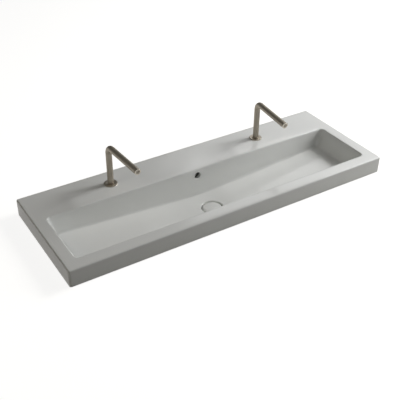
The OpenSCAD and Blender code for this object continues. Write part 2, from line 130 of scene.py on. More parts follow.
# %% [markdown]
# The basin is one casting. Seen in section it is a loop: up the bowl's wall, over the rim, down the
# apron, back under the deck and round the outside of the bowl. So it is made as rings. Each ring is a
# rounded rectangle with the same number of points, and neighbouring rings are joined by faces.
# That keeps the wall, the fillets and the rim in one smooth skin, which a stack of boxes would not.

# %% Sizes of the basin
box_low, box_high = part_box("basin_body")
half_width = box_high.x
front_y, back_y = box_low.y, box_high.y
rim_z, boss_z = box_high.z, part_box("overflow_chamber")[0].z
rim_side, rim_front, deck_depth = 0.043, 0.044, 0.147
deck_thick, apron_thick, shell_thick = 0.012, 0.012, 0.010
bowl_half, bowl_front, bowl_back = half_width - rim_side, front_y + rim_front, back_y - deck_depth
middle_depth, end_depth = 0.105, 0.070
middle_z, end_z = rim_z - middle_depth, rim_z - end_depth
end_lean, front_lean, back_lean = 0.020, 0.036, 0.005
opening_corner, foot_corner = 0.015, 0.011
lip_round, foot_round, edge_round, outer_corner = 0.005, 0.008, 0.005, 0.007
waste_from_back, recess_depth = 0.097, 0.016
waste_centre = Vector((0.0, bowl_back - waste_from_back, 0.0))
recess_radius, recess_round, recess_z = 0.0388, 0.003, middle_z - recess_depth
waste_hole_radius, boss_radius = 0.023, 0.051
print("bowl opening", round(2 * bowl_half, 4), "by", round(bowl_back - bowl_front, 4))

# %% [markdown]
# The rings share one set of stations. Round each corner the points sit on an arc, and along each side
# they stand closer together near the waste, where a round recess has to be let into the floor.

# %% Stations round a ring
corner_steps = 5
fine_steps = 36
coarse_x = 44
coarse_y = (6, 5)
floor_window_half, hull_window_half = 0.054, 0.060


def side_stations(low, high, radius, fine_low, fine_high, coarse):
    """Straight stretch of a side, close together between fine_low and fine_high."""
    first = np.linspace(low + radius, fine_low, coarse[0] + 1)
    fine = np.linspace(fine_low, fine_high, fine_steps + 1)
    last = np.linspace(fine_high, high - radius, coarse[1] + 1)
    return np.concatenate([first[:-1], fine, last[1:]])


def ring(x_half, y_low, y_high, radius, window=floor_window_half):
    """Points and outward directions of a rounded rectangle, anticlockwise from its front left corner."""
    xs = side_stations(-x_half, x_half, radius, -window, window, (coarse_x, coarse_x))
    ys = side_stations(y_low, y_high, radius, waste_centre.y - window, waste_centre.y + window, coarse_y)
    centres = [(x_half - radius, y_low + radius), (x_half - radius, y_high - radius),
               (-x_half + radius, y_high - radius), (-x_half + radius, y_low + radius)]
    sides = [(xs, y_low, 0), (ys, x_half, 1), (xs[::-1], y_high, 0), (ys[::-1], -x_half, 1)]
    points, outward = [], []
    for k, (along, fixed, axis) in enumerate(sides):
        start = math.radians(225 + 90 * k)
        before, after = centres[k - 1], centres[k]
        for a in np.linspace(start, start + math.pi / 4, corner_steps + 1)[:-1]:
            points.append((before[0] + radius * math.cos(a), before[1] + radius * math.sin(a)))
            outward.append((math.cos(a), math.sin(a)))
        face = start + math.pi / 4
        for v in along:
            points.append((v, fixed) if axis == 0 else (fixed, v))
            outward.append((math.cos(face), math.sin(face)))
        for a in np.linspace(face, face + math.pi / 4, corner_steps + 1)[1:-1]:
            points.append((after[0] + radius * math.cos(a), after[1] + radius * math.sin(a)))
            outward.append((math.cos(a), math.sin(a)))
    return np.array(points), np.array(outward)


steps_x = 2 * corner_steps + 2 * coarse_x + fine_steps
steps_y = 2 * corner_steps + sum(coarse_y) + fine_steps
ring_count = 2 * (steps_x + steps_y)
print("points in a ring:", ring_count)

# %% [markdown]
# The floor of the bowl is not flat. It falls from both ends to the waste in the middle, like a very
# shallow V, so that water runs to it. The two slopes pass into each other softly, so the height is
# written as a rule of the distance from the middle, and every piece of the floor asks that rule.

# %% The rule for the floor
level_half = 0.045
blend = 0.030
floor_reach = bowl_half - end_lean - level_half
floor_slope = (end_z - middle_z) / floor_reach


def floor_height(x):
    beyond = np.abs(x) - level_half
    return middle_z + floor_slope * (np.sqrt(beyond ** 2 + blend ** 2) + beyond) / 2


def at_height(plan, z):
    return np.column_stack([plan, np.broadcast_to(z, len(plan))])


def unit(v):
    return v / np.linalg.norm(v, axis=1, keepdims=True)


def fillet(corner, towards_a, towards_b, radius, steps):
    """Rings that round a corner line: towards_a and towards_b point along its two faces."""
    a, b = unit(towards_a), unit(towards_b)
    half = np.arccos(np.clip((a * b).sum(1), -1, 1)) / 2
    reach = (radius / np.tan(half))[:, None]
    centre = corner + unit(a + b) * (radius / np.sin(half))[:, None]
    start, end = corner + a * reach - centre, corner + b * reach - centre
    turn = math.pi - 2 * half
    rings = []
    for t in np.linspace(0, 1, steps + 1):
        rings.append(centre + (start * np.sin((1 - t) * turn)[:, None] + end * np.sin(t * turn)[:, None])
                     / np.sin(turn)[:, None])
    return rings


def between(a, b, steps):
    """Rings strictly between two rings."""
    return [a + (b - a) * t for t in np.linspace(0, 1, steps + 1)[1:-1]]


print("the floor rises by", round(float(floor_height(0.5) - floor_height(0.0)), 4), "m towards the ends")

# %% [markdown]
# Now the corner lines of the section, from the foot of the bowl's wall to the underside. Each one is
# where two faces would meet if nothing were rounded. The fillets then round them, each by its radius.

# %% Corner lines of the section
down, up = np.array([0.0, 0.0, -1.0]), np.array([0.0, 0.0, 1.0])


def flat(directions):
    return np.column_stack([directions, np.zeros(len(directions))])


foot_plan, foot_out = ring(bowl_half - end_lean, bowl_front + front_lean, bowl_back - back_lean, foot_corner)
foot = at_height(foot_plan, floor_height(foot_plan[:, 0]))
inward_step = 0.004
inner_corner, hull_end_share, hull_front_share = 0.004, 0.8, 0.7
inside_plan = foot_plan - foot_out * inward_step
floor_way = at_height(inside_plan, floor_height(inside_plan[:, 0])) - foot
lip_plan, lip_out = ring(bowl_half, bowl_front, bowl_back, opening_corner)
lip = at_height(lip_plan, rim_z)
top_plan, top_out = ring(half_width, front_y, back_y, outer_corner)
top = at_height(top_plan, rim_z)
base = at_height(top_plan, 0.0)
inner_plan, inner_out = ring(half_width - apron_thick, front_y + apron_thick, back_y - apron_thick,
                             inner_corner)
land = at_height(inner_plan, 0.0)
under_edge = at_height(inner_plan, rim_z - deck_thick)
shell_plan, shell_out = ring(bowl_half + shell_thick, bowl_front - shell_thick, bowl_back + shell_thick,
                             opening_corner + shell_thick)
shell_top = at_height(shell_plan, rim_z - deck_thick)
hull_plan, hull_out = ring(bowl_half - end_lean + shell_thick * hull_end_share,
                           bowl_front + front_lean - shell_thick * hull_front_share,
                           bowl_back - back_lean + shell_thick, foot_corner + shell_thick,
                           window=hull_window_half)
hull = at_height(hull_plan, floor_height(hull_plan[:, 0]) - shell_thick)
hull_inside = hull_plan - hull_out * inward_step
hull_way = at_height(hull_inside, floor_height(hull_inside[:, 0]) - shell_thick) - hull
print("corner lines of", len(foot), "points each")

# %% [markdown]
# Each corner line now becomes a small fan of rings that lie on its fillet. A bevel modifier could do
# this too, but it gives every edge one radius. Here the soft foot, the lip and the crisp land below
# the apron each keep their own, and edges that show get more rings than edges that don't.

# %% Rings from the bowl's floor to its underside
land_round, hidden_round = 0.0012, 0.004
shown_steps, hidden_steps = 7, 3
foot_rings = fillet(foot, floor_way, lip - foot, foot_round, shown_steps)
lip_rings = fillet(lip, foot - lip, flat(lip_out), lip_round, shown_steps)
edge_rings = fillet(top, -flat(top_out), np.broadcast_to(down, top.shape), edge_round, shown_steps)
base_rings = fillet(base, np.broadcast_to(up, base.shape), -flat(top_out), land_round, hidden_steps)
land_rings = fillet(land, flat(inner_out), np.broadcast_to(up, land.shape), land_round, hidden_steps)
under_rings = fillet(under_edge, np.broadcast_to(down, land.shape), -flat(inner_out), hidden_round,
                     hidden_steps)
shell_rings = fillet(shell_top, flat(shell_out), hull - shell_top, hidden_round, hidden_steps)
hull_rings = fillet(hull, shell_top - hull, hull_way, foot_round + shell_thick, shown_steps)
stack = [foot_rings, lip_rings, edge_rings, base_rings, land_rings, under_rings, shell_rings, hull_rings]
rows_between = [26, 5, 4, 2, 4, 4, 10]  # steps on the flat stretch that leads to each fillet
rings = list(stack[0])
for rows, group in zip(rows_between, stack[1:]):
    rings += between(rings[-1], group[0], rows) + list(group)
print("rings:", len(rings))

# %% [markdown]
# The two ends of that loop are the floor of the bowl and the underside of the bowl. Both are grids that
# take their outer points from the last ring. A square window is left in each grid round the waste, and
# from the window's edge a second, round family of rings runs down into the recess and round the boss.

# %% Grids for the floor and the underside
def grid_inside(edge, height):
    """Rows of points that fill a closed ring, with their heights from a rule."""
    front = edge[:steps_x + 1]
    right = edge[steps_x:steps_x + steps_y + 1]
    rear = edge[steps_x + steps_y:2 * steps_x + steps_y + 1][::-1]
    left = np.vstack([edge[2 * steps_x + steps_y:], edge[:1]])[::-1]
    u = ((front[:, 0] - front[0, 0]) / (front[-1, 0] - front[0, 0]))[None, :, None]
    v = ((left[:, 1] - left[0, 1]) / (left[-1, 1] - left[0, 1]))[:, None, None]
    across = (1 - v) * front[None] + v * rear[None]
    along = (1 - u) * left[:, None] + u * right[:, None]
    corners = (1 - u) * (1 - v) * front[0] + u * (1 - v) * front[-1]
    corners = corners + (1 - u) * v * rear[0] + u * v * rear[-1]
    grid = across + along - corners
    grid[1:-1, 1:-1, 2] = height(grid[1:-1, 1:-1, 0])
    return grid


window_x = (corner_steps + coarse_x, corner_steps + coarse_x + fine_steps)
window_y = (corner_steps + coarse_y[0], corner_steps + coarse_y[0] + fine_steps)
round_count = 4 * fine_steps


def window_edge():
    """Row and column of the points on the window's edge, anticlockwise from its front left corner."""
    x0, x1 = window_x
    y0, y1 = window_y
    cells = [(y0, x) for x in range(x0, x1)] + [(y, x1) for y in range(y0, y1)]
    cells += [(y1, x) for x in range(x1, x0, -1)] + [(y, x0) for y in range(y1, y0, -1)]
    return cells


def circle(radius, z):
    a = np.radians(225) + np.arange(round_count) * 2 * math.pi / round_count
    x, y = radius * np.cos(a), waste_centre.y + radius * np.sin(a)
    return np.column_stack([x, y, z(x) if callable(z) else np.full(round_count, z)])


def turned_fillet(radius, z, side, rise, size, steps):
    """Rings that round a circular edge; side and rise say which way its two faces run."""
    corner = circle(radius, z)
    out = corner - np.array([0.0, waste_centre.y, 0.0])
    out[:, 2] = 0
    return fillet(corner, side * unit(out), np.broadcast_to(rise, corner.shape), size, steps)


def under_height(x):
    return floor_height(x) - shell_thick


floor_grid = grid_inside(rings[0], floor_height)
under_grid = grid_inside(rings[-1], under_height)
print("floor grid", floor_grid.shape[:2], "window edge", round_count, "points")

# %% [markdown]
# On the real basin the waste sits in a round recess, so that its cap ends level with the floor. The
# recess, the hole and the boss below it are one turned shape, so they are made of circles. Their first
# and last circles follow the sloping floor, so the recess melts into it with a soft edge and no seam.

# %% Recess, waste hole and boss
recess_draft, recess_foot_round, hole_round = 0.0006, 0.006, 0.0008
boss_round, boss_root_round = 0.003, 0.005
soft_steps, crisp_steps, boss_steps = 5, 2, 4
mouth = turned_fillet(recess_radius, floor_height, 1, down, recess_round, soft_steps)
recess_low = recess_radius - recess_draft
recess_foot = turned_fillet(recess_low, recess_z, -1, up, recess_foot_round, soft_steps)[::-1]
hole_edge = turned_fillet(waste_hole_radius, recess_z, 1, down, hole_round, crisp_steps)
hole_end = turned_fillet(waste_hole_radius, boss_z, 1, up, hole_round, crisp_steps)[::-1]
boss_edge = turned_fillet(boss_radius, boss_z, -1, up, boss_round, boss_steps)
boss_root = turned_fillet(boss_radius, under_height, 1, down, boss_root_round, soft_steps)[::-1]
window_ring = np.array([floor_grid[c] for c in window_edge()])
under_window = np.array([under_grid[c] for c in window_edge()])


def settled(start, end, steps, height):
    """Rings between a window's edge and a circle that keep to a rule for the height."""
    found = between(start, end, steps)
    for r in found:
        r[:, 2] = height(r[:, 0])
    return found


round_rings = settled(window_ring, mouth[0], 6, floor_height) + mouth
round_rings += between(mouth[-1], recess_foot[0], 3) + recess_foot
round_rings += between(recess_foot[-1], hole_edge[0], 3) + hole_edge
round_rings += between(hole_edge[-1], hole_end[0], 3) + hole_end
round_rings += between(hole_end[-1], boss_edge[0], 3) + boss_edge
round_rings += between(boss_edge[-1], boss_root[0], 4) + boss_root
round_rings += settled(boss_root[-1], under_window, 3, under_height)
print("round rings:", len(round_rings))

# %% [markdown]
# All these points now become one mesh. A ring's points keep their order, so joining two rings takes
# only a rule for the numbers of the four points of each face. One closed skin has no hidden walls
# inside it, which pieces that only overlap would have.

# %% Join the rings and the grids
points = np.vstack(rings + [floor_grid[1:-1, 1:-1].reshape(-1, 3), under_grid[1:-1, 1:-1].reshape(-1, 3)]
                   + round_rings)
floor_start = len(rings) * ring_count
under_start = floor_start + (steps_x - 1) * (steps_y - 1)
round_start = under_start + (steps_x - 1) * (steps_y - 1)


def ring_faces(first, second, count):
    return [(first + i, first + (i + 1) % count, second + (i + 1) % count, second + i) for i in range(count)]


def grid_index(row, column, first_ring, inner_start):
    """Number of a grid's point: on the ring along the edge, otherwise in the grid's own block."""
    if row == 0:
        return first_ring + column
    if column == steps_x:
        return first_ring + steps_x + row
    if row == steps_y:
        return first_ring + steps_x + steps_y + (steps_x - column)
    if column == 0:
        return first_ring + 2 * steps_x + steps_y + (steps_y - row)
    return inner_start + (row - 1) * (steps_x - 1) + column - 1


def grid_faces(first_ring, inner_start):
    faces = []
    for row in range(steps_y):
        for column in range(steps_x):
            if window_y[0] <= row < window_y[1] and window_x[0] <= column < window_x[1]:
                continue
            corners = [(row, column), (row, column + 1), (row + 1, column + 1), (row + 1, column)]
            faces.append([grid_index(r, c, first_ring, inner_start) for r, c in corners])
    return faces


def window_faces(first_ring, inner_start, circle_start):
    edge = [grid_index(r, c, first_ring, inner_start) for r, c in window_edge()]
    return [(edge[i], edge[(i + 1) % round_count], circle_start + (i + 1) % round_count, circle_start + i)
            for i in range(round_count)]


last_ring = (len(rings) - 1) * ring_count
faces = grid_faces(0, floor_start) + grid_faces(last_ring, under_start)
for k in range(len(rings) - 1):
    faces += ring_faces(k * ring_count, (k + 1) * ring_count, ring_count)
for k in range(len(round_rings) - 1):
    faces += ring_faces(round_start + k * round_count, round_start + (k + 1) * round_count, round_count)
faces += window_faces(0, floor_start, round_start)
faces += window_faces(last_ring, under_start, round_start + (len(round_rings) - 1) * round_count)
basin_mesh = mesh_from("basin", points, faces)
basin = add_piece("basin", basin_mesh)

# %% [markdown]
# Three tools do the joining and cutting that follows: a box with rounded edges, a lathe that turns a
# section round an axis, and a Boolean that joins or cuts. The exact solver is slower than the fast one,
# but it keeps a closed mesh closed, and the result is kept as a plain mesh at once.

# %% Helpers for boxes, turned shapes and cuts
large_turn, medium_turn, small_turn = 96, 64, 48  # points round a turned shape
box_steps, on_axis = 3, 1e-9


def rounded_box(name, low, high, radius):
    mesh = bpy.data.meshes.new(name)
    work = bmesh.new()
    bmesh.ops.create_cube(work, size=1.0)
    centre, size = (Vector(low) + Vector(high)) / 2, Vector(high) - Vector(low)
    for v in work.verts:
        v.co = Vector(v.co[i] * size[i] for i in range(3)) + centre
    bmesh.ops.bevel(work, geom=work.edges[:], offset=radius, segments=box_steps, affect="EDGES", profile=0.5)
    work.to_mesh(mesh)
    work.free()
    return mesh


def lathe(name, profile, place=Matrix.Identity(4), count=large_turn, closed=False):
    """Turns a profile of (radius, height) points round Z. A point at radius 0 closes the end."""
    points, faces, start = [], [], []
    for r, z in profile:
        start.append(len(points))
        if r < on_axis:
            points.append((0.0, 0.0, z))
        else:
            points += [(r * math.cos(t), r * math.sin(t), z) for t in np.arange(count) * 2 * math.pi / count]
    pairs = list(zip(range(len(profile)), range(1, len(profile))))
    if closed:
        pairs.append((len(profile) - 1, 0))
    for a, b in pairs:
        ends = profile[a][0] < on_axis, profile[b][0] < on_axis
        for i in range(count):
            j = (i + 1) % count
            if ends[0] and ends[1]:
                continue
            if ends[0]:
                faces.append((start[a], start[b] + j, start[b] + i))
            elif ends[1]:
                faces.append((start[a] + i, start[a] + j, start[b]))
            else:
                faces.append((start[a] + i, start[a] + j, start[b] + j, start[b] + i))
    mesh = mesh_from(name, points, faces)
    mesh.transform(place)
    return mesh


def apply_boolean(piece, meshes, operation):
    """Joins or cuts a piece with a group of closed meshes."""
    for k, mesh in enumerate(meshes):
        tool = add_piece(f"tool_{k}", mesh)
        step = piece.modifiers.new("step", "BOOLEAN")
        step.operation = operation
        step.solver = "EXACT"
        step.object = tool
        done = bpy.data.meshes.new_from_object(piece.evaluated_get(bpy.context.evaluated_depsgraph_get()))
        piece.modifiers.clear()
        old, piece.data = piece.data, done
        done.name = piece.name
        bpy.data.meshes.remove(old)
        bpy.data.objects.remove(tool)
        bpy.data.meshes.remove(mesh)
    open_edges = close_up(piece.data)
    print(piece.name, operation.lower(), "->", len(piece.data.polygons), "faces,", open_edges, "open edges")


# %% [markdown]
# Behind the bowl's back wall a channel leads the overflow down to the waste. It is a boxy housing that
# is cast with the bowl, so it is joined to it by a Boolean. The low box runs to the boss below the
# recess's floor, and the high one starts behind the recess, so that the recess stays free.

# %% Housing behind the bowl
channel_half, channel_deep, channel_low = 0.025, 0.014, recess_z - shell_thick - 0.014
channel_front = bowl_back + shell_thick
housing_half, housing_back = channel_half + shell_thick, channel_front + channel_deep + shell_thick
housing_round, bury, housing_lap = 0.004, 0.004, 0.014
behind_hole, behind_recess = 0.007, 0.001
housing = [
    rounded_box("housing_upright", (-housing_half, channel_front - bury, boss_z),
                (housing_half, housing_back, rim_z - deck_thick / 2), housing_round),
    rounded_box("housing_low", (-housing_half, waste_centre.y + waste_hole_radius + behind_hole, boss_z),
                (housing_half, housing_back, recess_z - bury), housing_round),
    rounded_box("housing_high",
                (-housing_half, waste_centre.y + recess_radius + behind_recess, recess_z - housing_lap),
                (housing_half, housing_back, middle_z - bury), housing_round),
]
apply_boolean(basin, housing, "UNION")
print("housing joined")

# %% [markdown]
# The holes of a casting are made before it is fired, so their edges are soft. The overflow is turned
# as a trumpet whose mouth flares out into the wall, and cutting with it leaves a rounded edge. The
# holes for taps and fixings lie under discs and screws, so plain drills do for them.

# %% Cut the holes
tap_hole_radius, tap_x, tap_y = 0.0175, 0.2975, -0.076
fixing_x, fixing_z, fixing_radius = 0.350, 0.026, 0.007
overflow_down, overflow_radius, overflow_round = 0.028, 0.012, 0.002
overflow_z = rim_z - overflow_down
overrun = 0.001
trumpet_turn, trumpet_flare = np.radians(86), 1.4
channel_roof, channel_round = 0.003, 0.002
upright = Matrix.Rotation(math.radians(90), 4, "X")
wall_lean = back_lean / (rim_z - middle_z)
wall_y = bowl_back - wall_lean * (rim_z - overflow_z)
trumpet = [(0.0, shell_thick + channel_deep / 2), (overflow_radius, shell_thick + channel_deep / 2)]
trumpet += [(overflow_radius + overflow_round * (1 - math.cos(t)), overflow_round * (1 - math.sin(t)))
            for t in np.linspace(0, trumpet_turn, 9)]
trumpet += [(overflow_radius + trumpet_flare * overflow_round, -overflow_round), (0.0, -overflow_round)]
look_in = (Matrix.Translation((0, wall_y, overflow_z)) @ Matrix.Rotation(-math.atan(wall_lean), 4, "X")
           @ Matrix.Rotation(math.radians(-90), 4, "X"))
cutters = [lathe("overflow_cut", trumpet, look_in)]
cutters.append(rounded_box("channel_fall", (-channel_half, channel_front, channel_low),
                           (channel_half, channel_front + channel_deep, rim_z - deck_thick - channel_roof),
                           channel_round))
cutters.append(rounded_box("channel_run", (-channel_half, waste_centre.y, channel_low),
                           (channel_half, channel_front + channel_deep, channel_low + channel_deep),
                           channel_round))
for side in (-1, 1):
    drill = [(0.0, rim_z - deck_thick - overrun), (tap_hole_radius, rim_z - deck_thick - overrun),
             (tap_hole_radius, rim_z + overrun), (0.0, rim_z + overrun)]
    cutters.append(lathe("tap_cut", drill, Matrix.Translation((side * tap_x, tap_y, 0)), medium_turn))
    drill = [(0.0, -overrun), (fixing_radius, -overrun), (fixing_radius, apron_thick + overrun),
             (0.0, apron_thick + overrun)]
    cutters.append(lathe("fixing_cut", drill, Matrix.Translation((side * fixing_x, 0, fixing_z)) @ upright,
                         small_turn))
apply_boolean(basin, cutters, "DIFFERENCE")

# %% [markdown]
# A material is a small net of nodes. Every finish below starts from the same few steps: a place on the
# piece, a noise that changes with it, and a range that turns the noise into a colour or a roughness.
# Helpers for these steps keep each material down to the few numbers that make it what it is.

# %% Helpers for materials
noise_low, noise_high = 0.3, 0.7  # a noise hardly ever leaves this range


def new_material(name):
    material = bpy.data.materials.new(name)
    material.use_nodes = True
    tree = material.node_tree
    shader = tree.nodes["Principled BSDF"]
    return material, tree, shader


def node(tree, kind, inputs=None, **settings):
    made = tree.nodes.new(kind)
    for key, value in settings.items():
        setattr(made, key, value)
    for key, value in (inputs or {}).items():
        if isinstance(value, bpy.types.NodeSocket):
            tree.links.new(value, made.inputs[key])
        else:
            made.inputs[key].default_value = value
    return made


def object_place(tree):
    return node(tree, "ShaderNodeTexCoord").outputs["Object"]


def noise(tree, place, scale, detail, roughness=0.5):
    made = node(tree, "ShaderNodeTexNoise", {"Vector": place, "Scale": scale, "Detail": detail,
                                             "Roughness": roughness})
    return made.outputs["Fac"]


def spread(tree, value, low, high):
    made = node(tree, "ShaderNodeMapRange", {"Value": value, "From Min": noise_low, "From Max": noise_high,
                                             "To Min": low, "To Max": high})
    return made.outputs["Result"]


def bump(tree, shader, height, distance):
    made = node(tree, "ShaderNodeBump", {"Height": height, "Distance": distance, "Strength": 1.0})
    tree.links.new(made.outputs["Normal"], shader.inputs["Normal"])


def tinted(tree, shader, factor, colour, shade):
    """Lets the base colour wander between two colours."""
    tint = node(tree, "ShaderNodeMix", {"Factor": spread(tree, factor, 0, 1), "A": colour, "B": shade},
                data_type="RGBA")
    tree.links.new(tint.outputs["Result"], shader.inputs["Base Color"])


# %% [markdown]
# The glaze is a thin layer of glass over white clay. It shows up as a soft gloss, a colour that is a
# touch uneven over a hand's width, and a surface that waves by hundredths of a millimetre. A picture of
# real glaze could be wrapped round the basin, but noise in three directions needs no seams.

# %% Material: glazed ceramic
glaze_colour, glaze_shade = (0.88, 0.889, 0.871, 1), (0.86, 0.869, 0.851, 1)
glaze_bend = 1.52
cloud_scale, gloss_scale, wave_scale = 9.0, 60.0, 28.0
gloss_low, gloss_high, wave_height = 0.10, 0.14, 0.00012


def make_glaze():
    material, tree, shader = new_material("glaze")
    place = object_place(tree)
    tinted(tree, shader, noise(tree, place, cloud_scale, 3.0), glaze_colour, glaze_shade)
    fine = noise(tree, place, gloss_scale, 2.0)
    tree.links.new(spread(tree, fine, gloss_low, gloss_high), shader.inputs["Roughness"])
    shader.inputs["IOR"].default_value = glaze_bend
    bump(tree, shader, noise(tree, place, wave_scale, 2.0), wave_height)
    return material


glaze = make_glaze()
basin.data.materials.clear()
basin.data.materials.append(glaze)
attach(basin, "basin")
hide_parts("basin_body", "overflow_duct", "overflow_chamber")
print("basin is glazed")

# %% [markdown]
# Many parts of a fitting follow a rule: a tube follows a path, a thread winds round a bar, a spray
# plate repeats one hole. Geometry Nodes say such a rule once, with named inputs for the sizes. Here a
# tree is run on a start mesh, its result is kept as a plain mesh, and the modifier is taken off again.

# %% Helpers for Geometry Nodes
def new_tree(name, sizes):
    """An empty tree with a mesh going in, named sizes, a material, and a mesh coming out."""
    tree = bpy.data.node_groups.new(name, "GeometryNodeTree")
    tree.interface.new_socket("Geometry", in_out="INPUT", socket_type="NodeSocketGeometry")
    for label in sizes:
        tree.interface.new_socket(label, in_out="INPUT", socket_type="NodeSocketFloat")
    tree.interface.new_socket("Finish", in_out="INPUT", socket_type="NodeSocketMaterial")
    tree.interface.new_socket("Geometry", in_out="OUTPUT", socket_type="NodeSocketGeometry")
    return tree, tree.nodes.new("NodeGroupInput").outputs, tree.nodes.new("NodeGroupOutput")


def math_node(tree, operation, first, second=0.0, third=0.0):
    made = node(tree, "ShaderNodeMath", {0: first, 1: second, 2: third}, operation=operation)
    return made.outputs["Value"]


def close_tree(tree, given, result, geometry):
    real = node(tree, "GeometryNodeRealizeInstances", {"Geometry": geometry}).outputs["Geometry"]
    dressed = node(tree, "GeometryNodeSetMaterial", {"Geometry": real, "Material": given["Finish"]})
    tree.links.new(dressed.outputs["Geometry"], result.inputs["Geometry"])


def run_tree(name, tree, values, start=None):
    """Runs a tree on a start mesh and gives a piece that holds the result."""
    piece = add_piece(name, start if start is not None else bpy.data.meshes.new(name))
    step = piece.modifiers.new("shape", "NODES")
    step.node_group = tree
    for item in tree.interface.items_tree:
        if item.in_out == "INPUT" and item.name in values:
            step[item.identifier] = values[item.name]
    graph = bpy.context.evaluated_depsgraph_get()
    made = bpy.data.meshes.new_from_object(piece.evaluated_get(graph))
    piece.modifiers.clear()
    old, piece.data = piece.data, made
    bpy.data.meshes.remove(old)
    made.name = name
    open_edges = close_up(made)
    print(f"{name}: {tree.name} gave {len(made.polygons)} faces, {open_edges} open edges")
    return piece


def belongs(piece, body, slot, *replaced):
    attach(piece, body)
    if replaced:
        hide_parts(*replaced)


# %% [markdown]
# The spouts are drawn tube with a brushed finish: the grain is a set of fine scratches along the tube.
# The colour is a warm dark grey, so the base colour is dark for a metal. Brushing shows as roughness
# that changes across the tube and hardly at all along it, so the noise is stretched along the grain.

# %% Materials: metals
def make_metal(name, colour, shade, rough, scale, grain=(1, 1, 1), depth=0.00003, place=None):
    material, tree, shader = new_material(name)
    if place is None:
        where = object_place(tree)
    else:
        where = node(tree, "ShaderNodeAttribute", attribute_name=place).outputs["Vector"]
    where = node(tree, "ShaderNodeMapping", {"Vector": where, "Scale": grain}).outputs["Vector"]
    lines = noise(tree, where, scale, 3.0, 0.6)
    tinted(tree, shader, lines, colour, shade)
    tree.links.new(spread(tree, lines, rough[0], rough[1]), shader.inputs["Roughness"])
    shader.inputs["Metallic"].default_value = 1.0
    bump(tree, shader, lines, depth)
    return material


brushed_tube = make_metal("brushed_tube", (0.551, 0.498, 0.419, 1), (0.445, 0.402, 0.337, 1),
                          rough=(0.46, 0.56), scale=700.0, grain=(1, 1, 0.02), place="straight_place")
# The rosette's steel colour is painted lighter than the tube's: painted light for the light its flat face
# catches.
trim_steel_painted_light = make_metal("trim_steel_painted_light", (0.636, 0.578, 0.490, 1), (0.530, 0.481, 0.408, 1),
                          rough=(0.34, 0.44), scale=700.0, depth=0.00001)
# The outlet ring's steel colour is painted lighter still: a painted highlight on its end.
ring_steel_painted_light = make_metal("ring_steel_painted_light", (0.806, 0.753, 0.663, 1), (0.721, 0.673, 0.594, 1),
                          rough=(0.36, 0.46), scale=900.0, depth=0.00001)
turned_brass = make_metal("turned_brass", (0.72, 0.53, 0.27, 1), (0.62, 0.44, 0.21, 1),
                          rough=(0.24, 0.38), scale=1400.0, grain=(0.15, 0.15, 1))
drawn_steel = make_metal("drawn_steel", (0.62, 0.62, 0.60, 1), (0.54, 0.54, 0.53, 1),
                         rough=(0.26, 0.40), scale=800.0, grain=(1, 1, 0.4))
print("metals:", [m.name for m in (brushed_tube, trim_steel_painted_light, ring_steel_painted_light, turned_brass, drawn_steel)])

# %% [markdown]
# Rubber has a dull, slightly grainy skin. Moulded plastic is smoother, with a faint ripple and a colour
# that clouds a little. Both are plain materials, but neither is one flat colour.

# %% Materials: rubber and plastic
cloud_share = 0.2


def make_moulded(name, colour, shade, rough, scale, depth):
    material, tree, shader = new_material(name)
    place = object_place(tree)
    tinted(tree, shader, noise(tree, place, scale * cloud_share, 3.0), colour, shade)
    skin = noise(tree, place, scale, 4.0, 0.6)
    tree.links.new(spread(tree, skin, rough[0], rough[1]), shader.inputs["Roughness"])
    bump(tree, shader, skin, depth)
    return material


rubber = make_moulded("black_rubber", (0.028, 0.028, 0.029, 1), (0.040, 0.040, 0.042, 1),
                      rough=(0.58, 0.78), scale=1500.0, depth=0.00003)
plastic = make_moulded("pale_plastic", (0.80, 0.735, 0.64, 1), (0.74, 0.68, 0.59, 1),
                       rough=(0.34, 0.48), scale=900.0, depth=0.00002)
print("moulded:", rubber.name, plastic.name)

# %% [markdown]
# A spout is one tube: it rises from the deck, bends once and runs forward. The tube is first turned
# as a straight piece with a real wall and rounded ends, and a tree then lays it along the bent path.
# Each point keeps its straight place as an attribute, so the brushing follows the tube round the bend.

# %% The tree that bends a tube
bend_steps = 40


